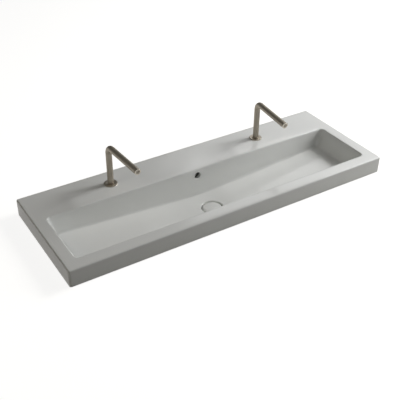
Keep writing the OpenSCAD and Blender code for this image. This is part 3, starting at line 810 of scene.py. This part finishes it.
def make_bend_tree():
    tree, given, result = new_tree("bent_tube", ("Foot", "Height", "Reach", "Bend Radius"))
    line = node(tree, "GeometryNodeCurvePrimitiveLine", {"Start": (0, 0, 0), "End": (0, 0, 1)})
    three = node(tree, "GeometryNodeResampleCurve", {"Curve": line.outputs["Curve"], "Count": 3})
    index = node(tree, "GeometryNodeInputIndex").outputs["Index"]
    past_foot = math_node(tree, "GREATER_THAN", index, 0.5)
    past_bend = math_node(tree, "GREATER_THAN", index, 1.5)
    rise = math_node(tree, "SUBTRACT", given["Height"], given["Foot"])
    z = math_node(tree, "MULTIPLY_ADD", past_foot, rise, given["Foot"])
    y = math_node(tree, "MULTIPLY", past_bend, math_node(tree, "MULTIPLY", given["Reach"], -1.0))
    corner = node(tree, "ShaderNodeCombineXYZ", {"Y": y, "Z": z}).outputs["Vector"]
    placed = node(tree, "GeometryNodeSetPosition", {"Geometry": three.outputs["Curve"], "Position": corner})
    path = node(tree, "GeometryNodeFilletCurve",
                {"Curve": placed.outputs["Geometry"], "Count": bend_steps, "Radius": given["Bend Radius"]},
                mode="POLY")
    straight = node(tree, "GeometryNodeInputPosition").outputs["Position"]
    kept = node(tree, "GeometryNodeStoreNamedAttribute",
                {"Geometry": given["Geometry"], "Name": "straight_place", "Value": straight},
                data_type="FLOAT_VECTOR", domain="POINT").outputs["Geometry"]
    parts = node(tree, "ShaderNodeSeparateXYZ", {"Vector": straight}).outputs
    along = node(tree, "GeometryNodeSampleCurve", {"Curves": path.outputs["Curve"], "Length": parts["Z"]},
                 mode="LENGTH", use_all_curves=True).outputs
    sideways = node(tree, "ShaderNodeVectorMath", {0: along["Tangent"], 1: (1, 0, 0)},
                    operation="CROSS_PRODUCT")
    sideways = node(tree, "ShaderNodeVectorMath", {0: sideways.outputs["Vector"], "Scale": parts["Y"]},
                    operation="SCALE").outputs["Vector"]
    across = node(tree, "ShaderNodeCombineXYZ", {"X": parts["X"]}).outputs["Vector"]
    off = node(tree, "ShaderNodeVectorMath", {0: sideways, 1: across}, operation="ADD").outputs["Vector"]
    spot = node(tree, "ShaderNodeVectorMath", {0: along["Position"], 1: off},
                operation="ADD").outputs["Vector"]
    bent = node(tree, "GeometryNodeSetPosition", {"Geometry": kept, "Position": spot}).outputs["Geometry"]
    close_tree(tree, given, result, bent)
    return tree


bend_tree = make_bend_tree()
print("tree:", bend_tree.name, len(bend_tree.nodes), "nodes")

# %% [markdown]
# The tree lays any straight tube along its path, so the tube itself carries the detail: a wall, and two
# ends that were deburred. Its rings stand close together only where it will bend, so the bend is
# smooth and the straight parts stay light. Both spouts are one shape, turned in by a few degrees.

# %% Both spouts
tube_radius, tube_wall, lip_soft = 0.0105, 0.0012, 0.0004
spout_height, spout_reach, bend_radius, tube_foot = 0.143, 0.186, 0.024, 0.0026
outlet_rim, lip_clear = 0.0008, 0.001
lip_turns = np.radians((0, 30, 60, 90))
turns = {"left": math.radians(3), "right": math.radians(-6)}
sides = {"left": -1, "right": 1}


def tap_place(side):
    return Matrix.Translation((sides[side] * tap_x, tap_y, rim_z))


def spout_place(side):
    return tap_place(side) @ Matrix.Rotation(turns[side], 4, "Z")


def straight_tube(name):
    """A straight tube with rounded ends, whose rings stand close together where it will bend."""
    rise = spout_height - tube_foot - bend_radius
    arc = bend_radius * math.pi / 2
    length = rise + arc + spout_reach - outlet_rim - bend_radius
    rings = [lip_soft + lip_clear, rise / 2] + list(rise + arc * np.linspace(0, 1, bend_steps + 1))
    rings += [(rise + arc + length) / 2, length - lip_soft - lip_clear]
    inner = tube_radius - tube_wall
    foot_lip = [(inner + lip_soft * (1 - math.cos(t)), lip_soft * (1 - math.sin(t))) for t in lip_turns]
    foot_lip += [(tube_radius - lip_soft * (1 - math.cos(t)), lip_soft * (1 - math.sin(t)))
                 for t in lip_turns[::-1]]
    head_lip = [(r, length - z) for r, z in reversed(foot_lip)]
    outer_wall = [(tube_radius, z) for z in rings]
    inner_wall = [(inner, z) for z in reversed(rings)]
    return lathe(name, foot_lip + outer_wall + head_lip + inner_wall, count=medium_turn, closed=True)


for side in sides:
    spout = run_tree(f"{side}_spout_tube", bend_tree,
                     {"Foot": tube_foot, "Height": spout_height, "Reach": spout_reach,
                      "Bend Radius": bend_radius, "Finish": brushed_tube}, straight_tube("straight"))
    spout.data.transform(spout_place(side))
    belongs(spout, f"{side}_tap_spout", "metal", f"{side}_spout")

# %% [markdown]
# Where a spout meets the deck, a thin disc covers the hole. It is the tube's steel, and its colour is
# painted lighter than the tube's: painted light for the light its flat face catches. At the outlet a
# ring with a rounded lip holds the aerator; its colour is painted lighter still, a painted highlight.
# Both are turned parts, so each is a section that a lathe helper turns round an axis, with its small
# roundings drawn as arcs in the section.

# %% Rosettes and outlet rings
def arc_points(centre, radius, start, end, steps):
    """Points on an arc of a section, from one angle to another in degrees."""
    return [(centre[0] + radius * math.cos(t), centre[1] + radius * math.sin(t))
            for t in np.radians(np.linspace(start, end, steps))]


rosette_radius, rosette_high, rosette_cover, rosette_foot = 0.0225, 0.003, 0.001, 0.0002
rosette_inner, rosette_bore, rosette_soft = 0.02003, 0.0108, 0.0008
bore_soft, ring_soft = 0.0002, 0.0003
rosette_profile = [(rosette_bore, rosette_high - rosette_cover)]
rosette_profile += arc_points((rosette_bore + bore_soft, rosette_high - bore_soft), bore_soft, 180, 90, 3)
rosette_profile += arc_points((rosette_radius - rosette_soft, rosette_high - rosette_soft), rosette_soft,
                              90, 0, 7)
rosette_profile += [(rosette_radius, rosette_foot), (rosette_inner, rosette_foot),
                    (rosette_inner, rosette_high - rosette_cover)]
ring_radius, ring_body, ring_bore, ring_lip, ring_long = 0.0102, 0.00927, 0.0075, 0.0067, 0.009
ring_profile = [(ring_bore, -ring_long), (ring_bore, -outlet_rim), (ring_lip, -outlet_rim)]
ring_profile += arc_points((ring_lip + bore_soft, -bore_soft), bore_soft, 180, 90, 4)
ring_profile += arc_points((ring_radius - ring_soft, -ring_soft), ring_soft, 90, 0, 5)
ring_profile += [(ring_radius, -outlet_rim), (ring_body, -outlet_rim), (ring_body, -ring_long)]


def outlet_place(side):
    return (spout_place(side) @ Matrix.Translation((0, -spout_reach, spout_height))
            @ Matrix.Rotation(math.radians(90), 4, "X"))


for side in sides:
    disc = add_piece(f"{side}_deck_disc",
                     lathe(f"{side}_deck_disc", rosette_profile, tap_place(side), closed=True))
    disc.data.materials.append(trim_steel_painted_light)
    belongs(disc, "basin", "metal", f"{side}_rosette")
    ring_piece = add_piece(f"{side}_outlet_ring",
                           lathe(f"{side}_outlet_ring", ring_profile, outlet_place(side), medium_turn,
                                 closed=True))
    ring_piece.data.materials.append(ring_steel_painted_light)
    belongs(ring_piece, f"{side}_tap_spout", "metal", f"{side}_aerator_shell")

# %% [markdown]
# The aerator ends in a plastic plate with a pattern of small holes. They stand like a honeycomb, which
# is a square grid with every row pushed half a step sideways and the rows brought closer. The tree
# makes that grid, drops its two far corners, sets a drill on every point and cuts them all at once.

# %% The tree that drills a spray plate
plate_rows, plate_reach, drill_share, drill_sides = 5, 2.5, 1.5, 16


def make_plate_tree():
    tree, given, result = new_tree("spray_plate", ("Plate Radius", "Thickness", "Hole Radius", "Pitch"))
    plate = node(tree, "GeometryNodeMeshCylinder", {"Vertices": small_turn, "Radius": given["Plate Radius"],
                                                    "Depth": given["Thickness"]}).outputs["Mesh"]
    grid = node(tree, "GeometryNodeMeshGrid", {"Size X": plate_rows - 1.0, "Size Y": plate_rows - 1.0,
                                               "Vertices X": plate_rows, "Vertices Y": plate_rows})
    at = node(tree, "ShaderNodeSeparateXYZ",
              {"Vector": node(tree, "GeometryNodeInputPosition").outputs["Position"]}).outputs
    reach = math_node(tree, "ABSOLUTE", math_node(tree, "ADD", at["X"], at["Y"]))
    outside = math_node(tree, "GREATER_THAN", reach, plate_reach)
    few = node(tree, "GeometryNodeDeleteGeometry", {"Geometry": grid.outputs["Mesh"], "Selection": outside},
               domain="POINT").outputs["Geometry"]
    pushed = math_node(tree, "MULTIPLY_ADD", at["Y"], 0.5, at["X"])
    closer = math_node(tree, "MULTIPLY", at["Y"], math.sin(math.radians(60)))
    skew_x = math_node(tree, "MULTIPLY", pushed, given["Pitch"])
    skew_y = math_node(tree, "MULTIPLY", closer, given["Pitch"])
    spot = node(tree, "ShaderNodeCombineXYZ", {"X": skew_x, "Y": skew_y}).outputs["Vector"]
    spots = node(tree, "GeometryNodeSetPosition", {"Geometry": few, "Position": spot}).outputs["Geometry"]
    deep = math_node(tree, "MULTIPLY", given["Thickness"], drill_share)
    drill = node(tree, "GeometryNodeMeshCylinder", {"Vertices": drill_sides, "Radius": given["Hole Radius"],
                                                    "Depth": deep}).outputs["Mesh"]
    drills = node(tree, "GeometryNodeInstanceOnPoints", {"Points": spots, "Instance": drill})
    drills = drills.outputs["Instances"]
    drills = node(tree, "GeometryNodeRealizeInstances", {"Geometry": drills}).outputs["Geometry"]
    drilled = node(tree, "GeometryNodeMeshBoolean", {"Mesh 1": plate, "Mesh 2": drills},
                   operation="DIFFERENCE", solver="EXACT").outputs["Mesh"]
    close_tree(tree, given, result, drilled)
    return tree


plate_tree = make_plate_tree()
plate_radius, plate_thick, spray_radius, spray_pitch = 0.00747, 0.005, 0.0008, 0.0025
for side in sides:
    plate = run_tree(f"{side}_spray_plate", plate_tree,
                     {"Plate Radius": plate_radius, "Thickness": plate_thick, "Hole Radius": spray_radius,
                      "Pitch": spray_pitch, "Finish": plastic})
    plate.data.transform(outlet_place(side) @ Matrix.Translation((0, 0, -outlet_rim - plate_thick / 2)))
    belongs(plate, f"{side}_tap_spout", "polymer", f"{side}_aerator_insert")

# %% [markdown]
# The fittings that clamp a tap and a waste are turned brass bars with a pipe thread. A thread is a
# groove that winds round the bar, so a tree pushes points inwards by an amount that depends on their
# angle and height. It works on a bar that was turned with many rings, and leaves the rest of it alone.

# %% The tree that cuts a thread
crest_share, root_share = 0.08, 0.42
turns_ahead, skin_share = 100.0, 0.999
rings_per_turn = 8


def make_thread_tree():
    tree, given, result = new_tree("thread", ("Pitch", "Depth", "Low", "High", "Radius"))
    at = node(tree, "ShaderNodeSeparateXYZ",
              {"Vector": node(tree, "GeometryNodeInputPosition").outputs["Position"]}).outputs
    from_axis = node(tree, "ShaderNodeCombineXYZ", {"X": at["X"], "Y": at["Y"]}).outputs["Vector"]
    radius = node(tree, "ShaderNodeVectorMath", {0: from_axis}, operation="LENGTH").outputs["Value"]
    angle = math_node(tree, "ARCTAN2", at["Y"], at["X"])
    climb = math_node(tree, "DIVIDE", at["Z"], given["Pitch"])
    phase = math_node(tree, "MULTIPLY_ADD", angle, -1 / (2 * math.pi), climb)
    wave = math_node(tree, "PINGPONG", math_node(tree, "ADD", phase, turns_ahead), 0.5)
    groove = node(tree, "ShaderNodeMapRange",
                  {"Value": wave, "From Min": crest_share, "From Max": root_share})
    from_low = math_node(tree, "SUBTRACT", at["Z"], given["Low"])
    from_high = math_node(tree, "SUBTRACT", given["High"], at["Z"])
    inside = math_node(tree, "MINIMUM", from_low, from_high)
    fade = node(tree, "ShaderNodeMapRange", {"Value": inside, "From Min": 0.0, "From Max": given["Depth"]})
    skin = math_node(tree, "MULTIPLY", given["Radius"], skin_share)
    outer = math_node(tree, "GREATER_THAN", radius, skin)
    cut = math_node(tree, "MULTIPLY", groove.outputs["Result"], fade.outputs["Result"])
    cut = math_node(tree, "MULTIPLY", cut, outer)
    cut = math_node(tree, "MULTIPLY", cut, given["Depth"])
    inwards = math_node(tree, "MULTIPLY", cut, -1.0)
    outwards = node(tree, "ShaderNodeVectorMath", {0: from_axis}, operation="NORMALIZE").outputs["Vector"]
    push = node(tree, "ShaderNodeVectorMath", {0: outwards, "Scale": inwards},
                operation="SCALE").outputs["Vector"]
    moved = node(tree, "GeometryNodeSetPosition", {"Geometry": given["Geometry"], "Offset": push})
    close_tree(tree, given, result, moved.outputs["Geometry"])
    return tree


thread_tree = make_thread_tree()


def with_rings(profile, low, high, radius, pitch):
    """Adds the rings that a thread needs to the profile's straight wall between low and high."""
    step = pitch / rings_per_turn
    rings = [(radius, z) for z in np.arange(low + step, high - step / 2, step)]
    at = profile.index((radius, low))
    return profile[:at + 1] + rings + profile[at + 1:]


print("trees:", plate_tree.name, thread_tree.name)

# %% [markdown]
# The shank goes through the deck and holds the tap: a flange above, a thread below, and a groove inside
# for the spring ring that keeps the spout from being pulled out. It is hidden at rest, but it shows when
# the basin is seen from below, and a real thread catches light in a way that no bump can.

# %% Tap shanks
shank_thread, shank_flange, shank_seat, shank_bottom = 0.0104775, 0.020, 0.002, -0.041
water_way, shank_bore, shank_floor, shank_step = 0.006, 0.008, -0.036, 0.001
relief_low, relief_high, relief_radius = -0.027, -0.025, 0.0096775
pipe_pitch, pipe_depth, shank_soft = 0.001814, 0.00095, 0.0006
groove_low, groove_high, groove_radius = -0.0262, -0.0246, 0.0087
shank_profile = [(water_way, shank_bottom), (shank_thread - shank_soft, shank_bottom),
                 (shank_thread, shank_bottom + shank_soft), (shank_thread, relief_low),
                 (relief_radius, relief_low), (relief_radius, relief_high), (shank_thread, relief_high),
                 (shank_thread, 0.0), (shank_thread, shank_step), (shank_flange, shank_step),
                 (shank_flange, shank_seat), (shank_bore, shank_seat), (shank_bore, groove_high),
                 (groove_radius, groove_high), (groove_radius, groove_low), (shank_bore, groove_low),
                 (shank_bore, shank_floor), (water_way, shank_floor)]
shank_profile = with_rings(shank_profile, shank_bottom + shank_soft, relief_low, shank_thread, pipe_pitch)
shank_profile = with_rings(shank_profile, relief_high, 0.0, shank_thread, pipe_pitch)
for side in sides:
    bar = run_tree(f"{side}_threaded_shank", thread_tree,
                   {"Pitch": pipe_pitch, "Depth": pipe_depth, "Low": shank_bottom + shank_soft, "High": 0.0,
                    "Radius": shank_thread, "Finish": turned_brass},
                   lathe("shank_bar", shank_profile, count=small_turn, closed=True))
    bar.data.transform(tap_place(side))
    belongs(bar, "basin", "brass", f"{side}_shank")

# %% [markdown]
# A nut is a six-sided bar whose corners were turned off to a slope, so a curved line runs over each
# corner. It is made the same way: a prism, a cut for the bore, and a cut to the turned shape. A bevel
# would give it straight corner cuts, which no turned nut has.

# %% Nuts
face_share, corner_slope, bore_edge = 0.97, 0.55, 0.0006


def hex_nut(name, across, bore, low, high, place):
    corner = across / math.sqrt(3)
    reach = across / 2 * face_share
    drop = (corner - reach) * corner_slope
    wide = bore + bore_edge
    prism = [(0.0, low), (corner, low), (corner, high), (0.0, high)]
    turned = [(0.0, low), (reach, low), (corner, low + drop),
              (corner, high - drop), (reach, high), (0.0, high)]
    drilled = [(0.0, low - overrun), (wide + overrun, low - overrun), (wide, low), (bore, low + bore_edge),
               (bore, high - bore_edge), (wide, high), (wide + overrun, high + overrun),
               (0.0, high + overrun)]
    piece = add_piece(name, lathe(name, prism, count=6))
    apply_boolean(piece, [lathe("turned", turned)], "INTERSECT")
    apply_boolean(piece, [lathe("bore", drilled, count=medium_turn)], "DIFFERENCE")
    piece.data.transform(place)
    piece.data.materials.clear()
    piece.data.materials.append(turned_brass)
    return piece


lock_nut_across, lock_nut_bore, lock_nut_thick = 0.030, 0.0105075, 0.008
for side in sides:
    nut = hex_nut(f"{side}_shank_nut", lock_nut_across, lock_nut_bore, relief_high,
                  relief_high + lock_nut_thick, tap_place(side))
    belongs(nut, "basin", "brass", f"{side}_lock_nut")
cone_high, washer_thick, nut_thick = 0.008, 0.002, 0.010
back_nut_across, back_nut_bore = 0.058, 0.020985
back_nut_low = boss_z - cone_high - washer_thick - nut_thick
nut = hex_nut("waste_nut", back_nut_across, back_nut_bore, back_nut_low, back_nut_low + nut_thick,
              Matrix.Translation(waste_centre))
belongs(nut, "basin", "brass", "waste_back_nut")

# %% [markdown]
# The waste is a brass pipe with a flange that sits in the bowl's recess. It is turned from its section
# and then threaded by the same tree as the shanks. Only its lower end and the part below the boss
# carry a thread, so the section has its many rings only there.

# %% Waste pipe
flange_radius, waste_bore, waste_thread, waste_neck = 0.031, 0.018, 0.020955, 0.019955
top_seal_thick, flange_thick, flange_soft, mouth_soft = 0.0015, 0.002, 0.0006, 0.0010
tail_gap, tail_long, tail_soft, neck_gap = 0.002, 0.024, 0.0006, 0.001
flange_low = recess_z + top_seal_thick
flange_high = flange_low + flange_thick
tail_low, thread_high = back_nut_low - tail_gap - tail_long, boss_z - neck_gap
waste_pitch, waste_depth = 0.002309, 0.00095
tail_start, tail_high = tail_low + tail_soft, back_nut_low - tail_gap
waste_profile = [(waste_bore, tail_low), (waste_thread - tail_soft, tail_low), (waste_thread, tail_start),
                 (waste_thread, tail_high), (waste_neck, tail_high), (waste_neck, back_nut_low),
                 (waste_thread, back_nut_low), (waste_thread, thread_high), (waste_neck, thread_high),
                 (waste_neck, flange_low), (flange_radius, flange_low),
                 (flange_radius, flange_high - flange_soft)]
waste_profile += arc_points((flange_radius - flange_soft, flange_high - flange_soft), flange_soft,
                            0, 90, 4)[1:]
waste_profile += [(waste_bore + mouth_soft, flange_high)]
waste_profile += arc_points((waste_bore + mouth_soft, flange_high - mouth_soft), mouth_soft, 90, 180, 4)[1:]
waste_profile = with_rings(waste_profile, tail_start, tail_high, waste_thread, waste_pitch)
waste_profile = with_rings(waste_profile, back_nut_low, thread_high, waste_thread, waste_pitch)
waste_pipe = run_tree("waste_pipe", thread_tree,
                      {"Pitch": waste_pitch, "Depth": waste_depth, "Low": tail_start, "High": thread_high,
                       "Radius": waste_thread, "Finish": turned_brass},
                      lathe("waste_bar", waste_profile, closed=True))

# %% [markdown]
# Four slots in the pipe's wall let the overflow in. Inside, three spokes and a hub carry the sleeve of
# the plug. The real piece is cast with them and then drilled, so here two long bars cut the slots, each
# through both sides, and the spokes are joined to the pipe.

# %% Slots, spokes and hub
slot_half, slot_round = 0.007, 0.002
slots = []
for turn in (0, 90):
    slot = rounded_box("slot", (-flange_radius, -slot_half, channel_low),
                       (flange_radius, slot_half, channel_low + channel_deep), slot_round)
    slot.transform(Matrix.Rotation(math.radians(turn), 4, "Z"))
    slots.append(slot)
apply_boolean(waste_pipe, slots, "DIFFERENCE")
sleeve_low, spoke_half, spoke_high, spoke_round = -0.1025, 0.0015, 0.006, 0.0004
hub_bore, hub_radius, hub_high, hub_soft = 0.00803, 0.011, 0.008, 0.0004
into_hub, into_pipe = 0.002, 0.001
spokes = []
for turn in (0, 120, 240):
    spoke = rounded_box("spoke", (hub_radius - into_hub, -spoke_half, sleeve_low),
                        (waste_bore + into_pipe, spoke_half, sleeve_low + spoke_high), spoke_round)
    spoke.transform(Matrix.Rotation(math.radians(turn), 4, "Z"))
    spokes.append(spoke)
hub = [(hub_bore, sleeve_low), (hub_radius - hub_soft, sleeve_low), (hub_radius, sleeve_low + hub_soft),
       (hub_radius, sleeve_low + hub_high - hub_soft), (hub_radius - hub_soft, sleeve_low + hub_high),
       (hub_bore, sleeve_low + hub_high)]
spokes.append(lathe("hub", hub, count=medium_turn, closed=True))
apply_boolean(waste_pipe, spokes, "UNION")
waste_pipe.data.transform(Matrix.Translation(waste_centre))
belongs(waste_pipe, "basin", "brass", "waste_body")

# %% [markdown]
# The cap is glazed like the bowl: a disc with a strongly rounded edge and a nearly level top, which is
# a slice of a very large sphere. Where the slice meets the edge both have the same slope, so the light
# runs over the cap without a line.

# %% Cap of the waste
cap_radius, cap_foot, cap_edge, cap_crown, cap_foot_soft = 0.035, 0.001, 0.0075, 0.0015, 0.0006
rest_gap, cap_seal_thick, carrier_thick = 0.0001, 0.002, 0.0025
cap_steps = 16
cap_low = flange_high + rest_gap + cap_seal_thick + carrier_thick
crown_rim = cap_radius - cap_edge
crown_radius = (crown_rim ** 2 + cap_crown ** 2) / (2 * cap_crown)
crown_slope = math.asin(crown_rim / crown_radius)
cap_profile = [(0.0, 0.0), (cap_radius - cap_foot_soft, 0.0)]
cap_profile += arc_points((cap_radius - cap_foot_soft, cap_foot_soft), cap_foot_soft, -90, 0, 4)[1:]
cap_profile += arc_points((crown_rim, cap_foot), cap_edge, 0, 90 - math.degrees(crown_slope), cap_steps)
crown_foot = cap_foot + cap_edge + cap_crown - crown_radius
cap_profile += [(crown_radius * math.sin(t), crown_foot + crown_radius * math.cos(t))
                for t in np.linspace(crown_slope, 0, cap_steps)[1:-1]]
cap_profile += [(0.0, cap_foot + cap_edge + cap_crown)]
cap = add_piece("waste_dome", lathe("waste_dome", cap_profile,
                                    Matrix.Translation(waste_centre + Vector((0, 0, cap_low)))))
cap.data.materials.append(glaze)
belongs(cap, "waste_plug", "ceramic", "waste_cap")

# %% [markdown]
# The small parts keep the shape that the imported model gives them: they are plain rings, rods and
# washers, and the spring. To model them again would only risk their fits, so each just gets the
# material of its slot.

# %% Finishes for the small parts
# The metal slot gets the trim steel, whose colour is painted lighter as painted light.
finishes = {"ceramic": glaze, "metal": trim_steel_painted_light, "brass": turned_brass, "rubber": rubber,
            "polymer": plastic, "steel": drawn_steel}
for part in frame["record"]["subparts"]:
    carried = nodes[part["node"]]
    for place in carried.material_slots:
        place.material = finishes[part["material_slot"]]

# %% [markdown]
# The basin stands on a pale worktop, with its bowl hanging through a cut-out. The photographer's
# white ground is that worktop: it is plain white to the camera, and it still takes the basin's shadow.
# A glow that only the camera sees keeps it white, so the lamps needn't be turned up until the ceramic
# burns out. Mirror images get a weaker glow, so the glossy glaze and the tubes have a bright floor.

# %% Worktop
plain_white, mirrored_white, mirrored_sky = 0.85, 0.5, 0.05
worktop_reach, worktop_drop = 14.0, 0.0002
worktop_colour, worktop_dull = (0.46, 0.45, 0.42, 1), 0.9


def make_worktop():
    inset = apron_thick / 2
    hole = [(-half_width + inset, front_y + inset), (half_width - inset, front_y + inset),
            (half_width - inset, back_y - inset), (-half_width + inset, back_y - inset)]
    far = worktop_reach
    rim = [(-far, -far), (far, -far), (far, far), (-far, far)]
    points = [(x, y, -worktop_drop) for x, y in hole + rim]
    faces = [(k, (k + 1) % 4, 4 + (k + 1) % 4, 4 + k) for k in range(4)]
    mesh = bpy.data.meshes.new("worktop")
    mesh.from_pydata(points, [], [f[::-1] for f in faces])
    piece = add_piece("worktop", mesh)
    material, tree, shader = new_material("worktop_white")
    shader.inputs["Base Color"].default_value = worktop_colour
    shader.inputs["Roughness"].default_value = worktop_dull
    shader.inputs["Specular IOR Level"].default_value = 0.0
    path = node(tree, "ShaderNodeLightPath").outputs
    mirrored = math_node(tree, "ADD", path["Is Glossy Ray"], path["Is Transmission Ray"])
    mirrored = math_node(tree, "MULTIPLY", mirrored, mirrored_white)
    strength = math_node(tree, "MULTIPLY_ADD", path["Is Camera Ray"], plain_white, mirrored)
    glow = node(tree, "ShaderNodeEmission", {"Color": (1, 1, 1, 1), "Strength": strength})
    both = node(tree, "ShaderNodeAddShader", {0: shader.outputs[0], 1: glow.outputs[0]})
    tree.links.new(both.outputs[0], tree.nodes["Material Output"].inputs["Surface"])
    mesh.materials.append(material)
    return piece


worktop = make_worktop()
print("worktop with a cut-out:", len(worktop.data.polygons), "faces")

# %% [markdown]
# Light in the photograph comes from the upper right, which leaves the left side of the apron dark and
# throws the shadow of the right end into the bowl. So the key lamp hangs there. The others lift what it
# leaves too dark: one low lamp and one near lamp for the right, a warm one for the left, one over the
# bowl. The panel and the upper lamp stand where the deck and the rim mirror them to the camera. Two
# lamps below the worktop light the underside. The two low ones on the right are left out of
# reflections, or the deck would mirror them as white patches when it is seen from behind.

# %% Lamps
def area_light(name, place, aim, size, power, colour, mirrored):
    """A flat lamp of a size in metres and a power in watts, turned towards a point."""
    data = bpy.data.lights.new(name, "AREA")
    data.shape = "RECTANGLE"
    data.size, data.size_y = size
    data.energy = power
    data.color = colour
    lamp = bpy.data.objects.new(name, data)
    bpy.context.scene.collection.objects.link(lamp)
    lamp.visible_glossy = mirrored
    lamp.location = place
    lamp.rotation_euler = (Vector(aim) - Vector(place)).to_track_quat("-Z", "Y").to_euler()


lamps = {
    "key": ((2.4, -0.25, 2.0), (0.2, -0.2, 0.0), (1.0, 1.0), 44.0),
    "over": ((0.5, -0.5, 1.05), (0.35, -0.35, 0.0), (1.0, 0.4), 0.75),
    "right": ((2.6, -0.9, 0.9), (0.2, -0.2, 0.0), (1.8, 1.2), 19.0),
    "near": ((1.7, -1.3, 0.6), (0.25, -0.4, 0.0), (0.7, 0.7), 4.0),
    "left": ((-1.9, -0.25, 1.6), (0.3, -0.2, 0.0), (1.2, 1.2), 5.6),
    "panel": ((2.57, 2.4, 1.775), (1.07, 0.0, 0.06), (2.3, 0.95), 4.2),
    "upper": ((2.7, 2.4, 2.6), (1.2, 0.0, 0.06), (2.0, 0.7), 6.0),
    "below_front": ((0.9, -1.6, -1.5), (0.1, -0.2, 0.0), (2.0, 2.0), 22.0),
    "below_back": ((-1.0, 1.2, -1.5), (-0.1, -0.2, 0.0), (2.0, 2.0), 22.0),
}
white, warm_white = (1, 1, 1), (1.0, 0.93, 0.82)
for name, (place, aim, size, power) in lamps.items():
    area_light(name, place, aim, size, power, warm_white if name == "left" else white,
               mirrored=name not in ("right", "near"))

# %% [markdown]
# Past the edge of the worktop there is only the world. The camera sees it at full white, so the ground
# and the far distance are one white, and it adds next to nothing to the light. The view transform is
# Standard, which leaves a white of 1 as it is, where the usual one would turn it grey.

# %% World and view
sky_colour, sky_level = (0.98, 1.0, 0.97, 1), 0.03


def make_world():
    world = bpy.data.worlds.new("studio")
    world.use_nodes = True
    tree = world.node_tree
    path = node(tree, "ShaderNodeLightPath").outputs
    mirrored = math_node(tree, "ADD", path["Is Glossy Ray"], path["Is Transmission Ray"])
    mirrored = math_node(tree, "MULTIPLY_ADD", mirrored, mirrored_sky, sky_level)
    strength = math_node(tree, "ADD", path["Is Camera Ray"], mirrored)
    tree.nodes["Background"].inputs["Color"].default_value = sky_colour
    tree.links.new(strength, tree.nodes["Background"].inputs["Strength"])
    bpy.context.scene.world = world


make_world()
bpy.context.scene.view_settings.view_transform = "Standard"
print("world:", bpy.context.scene.world.name)
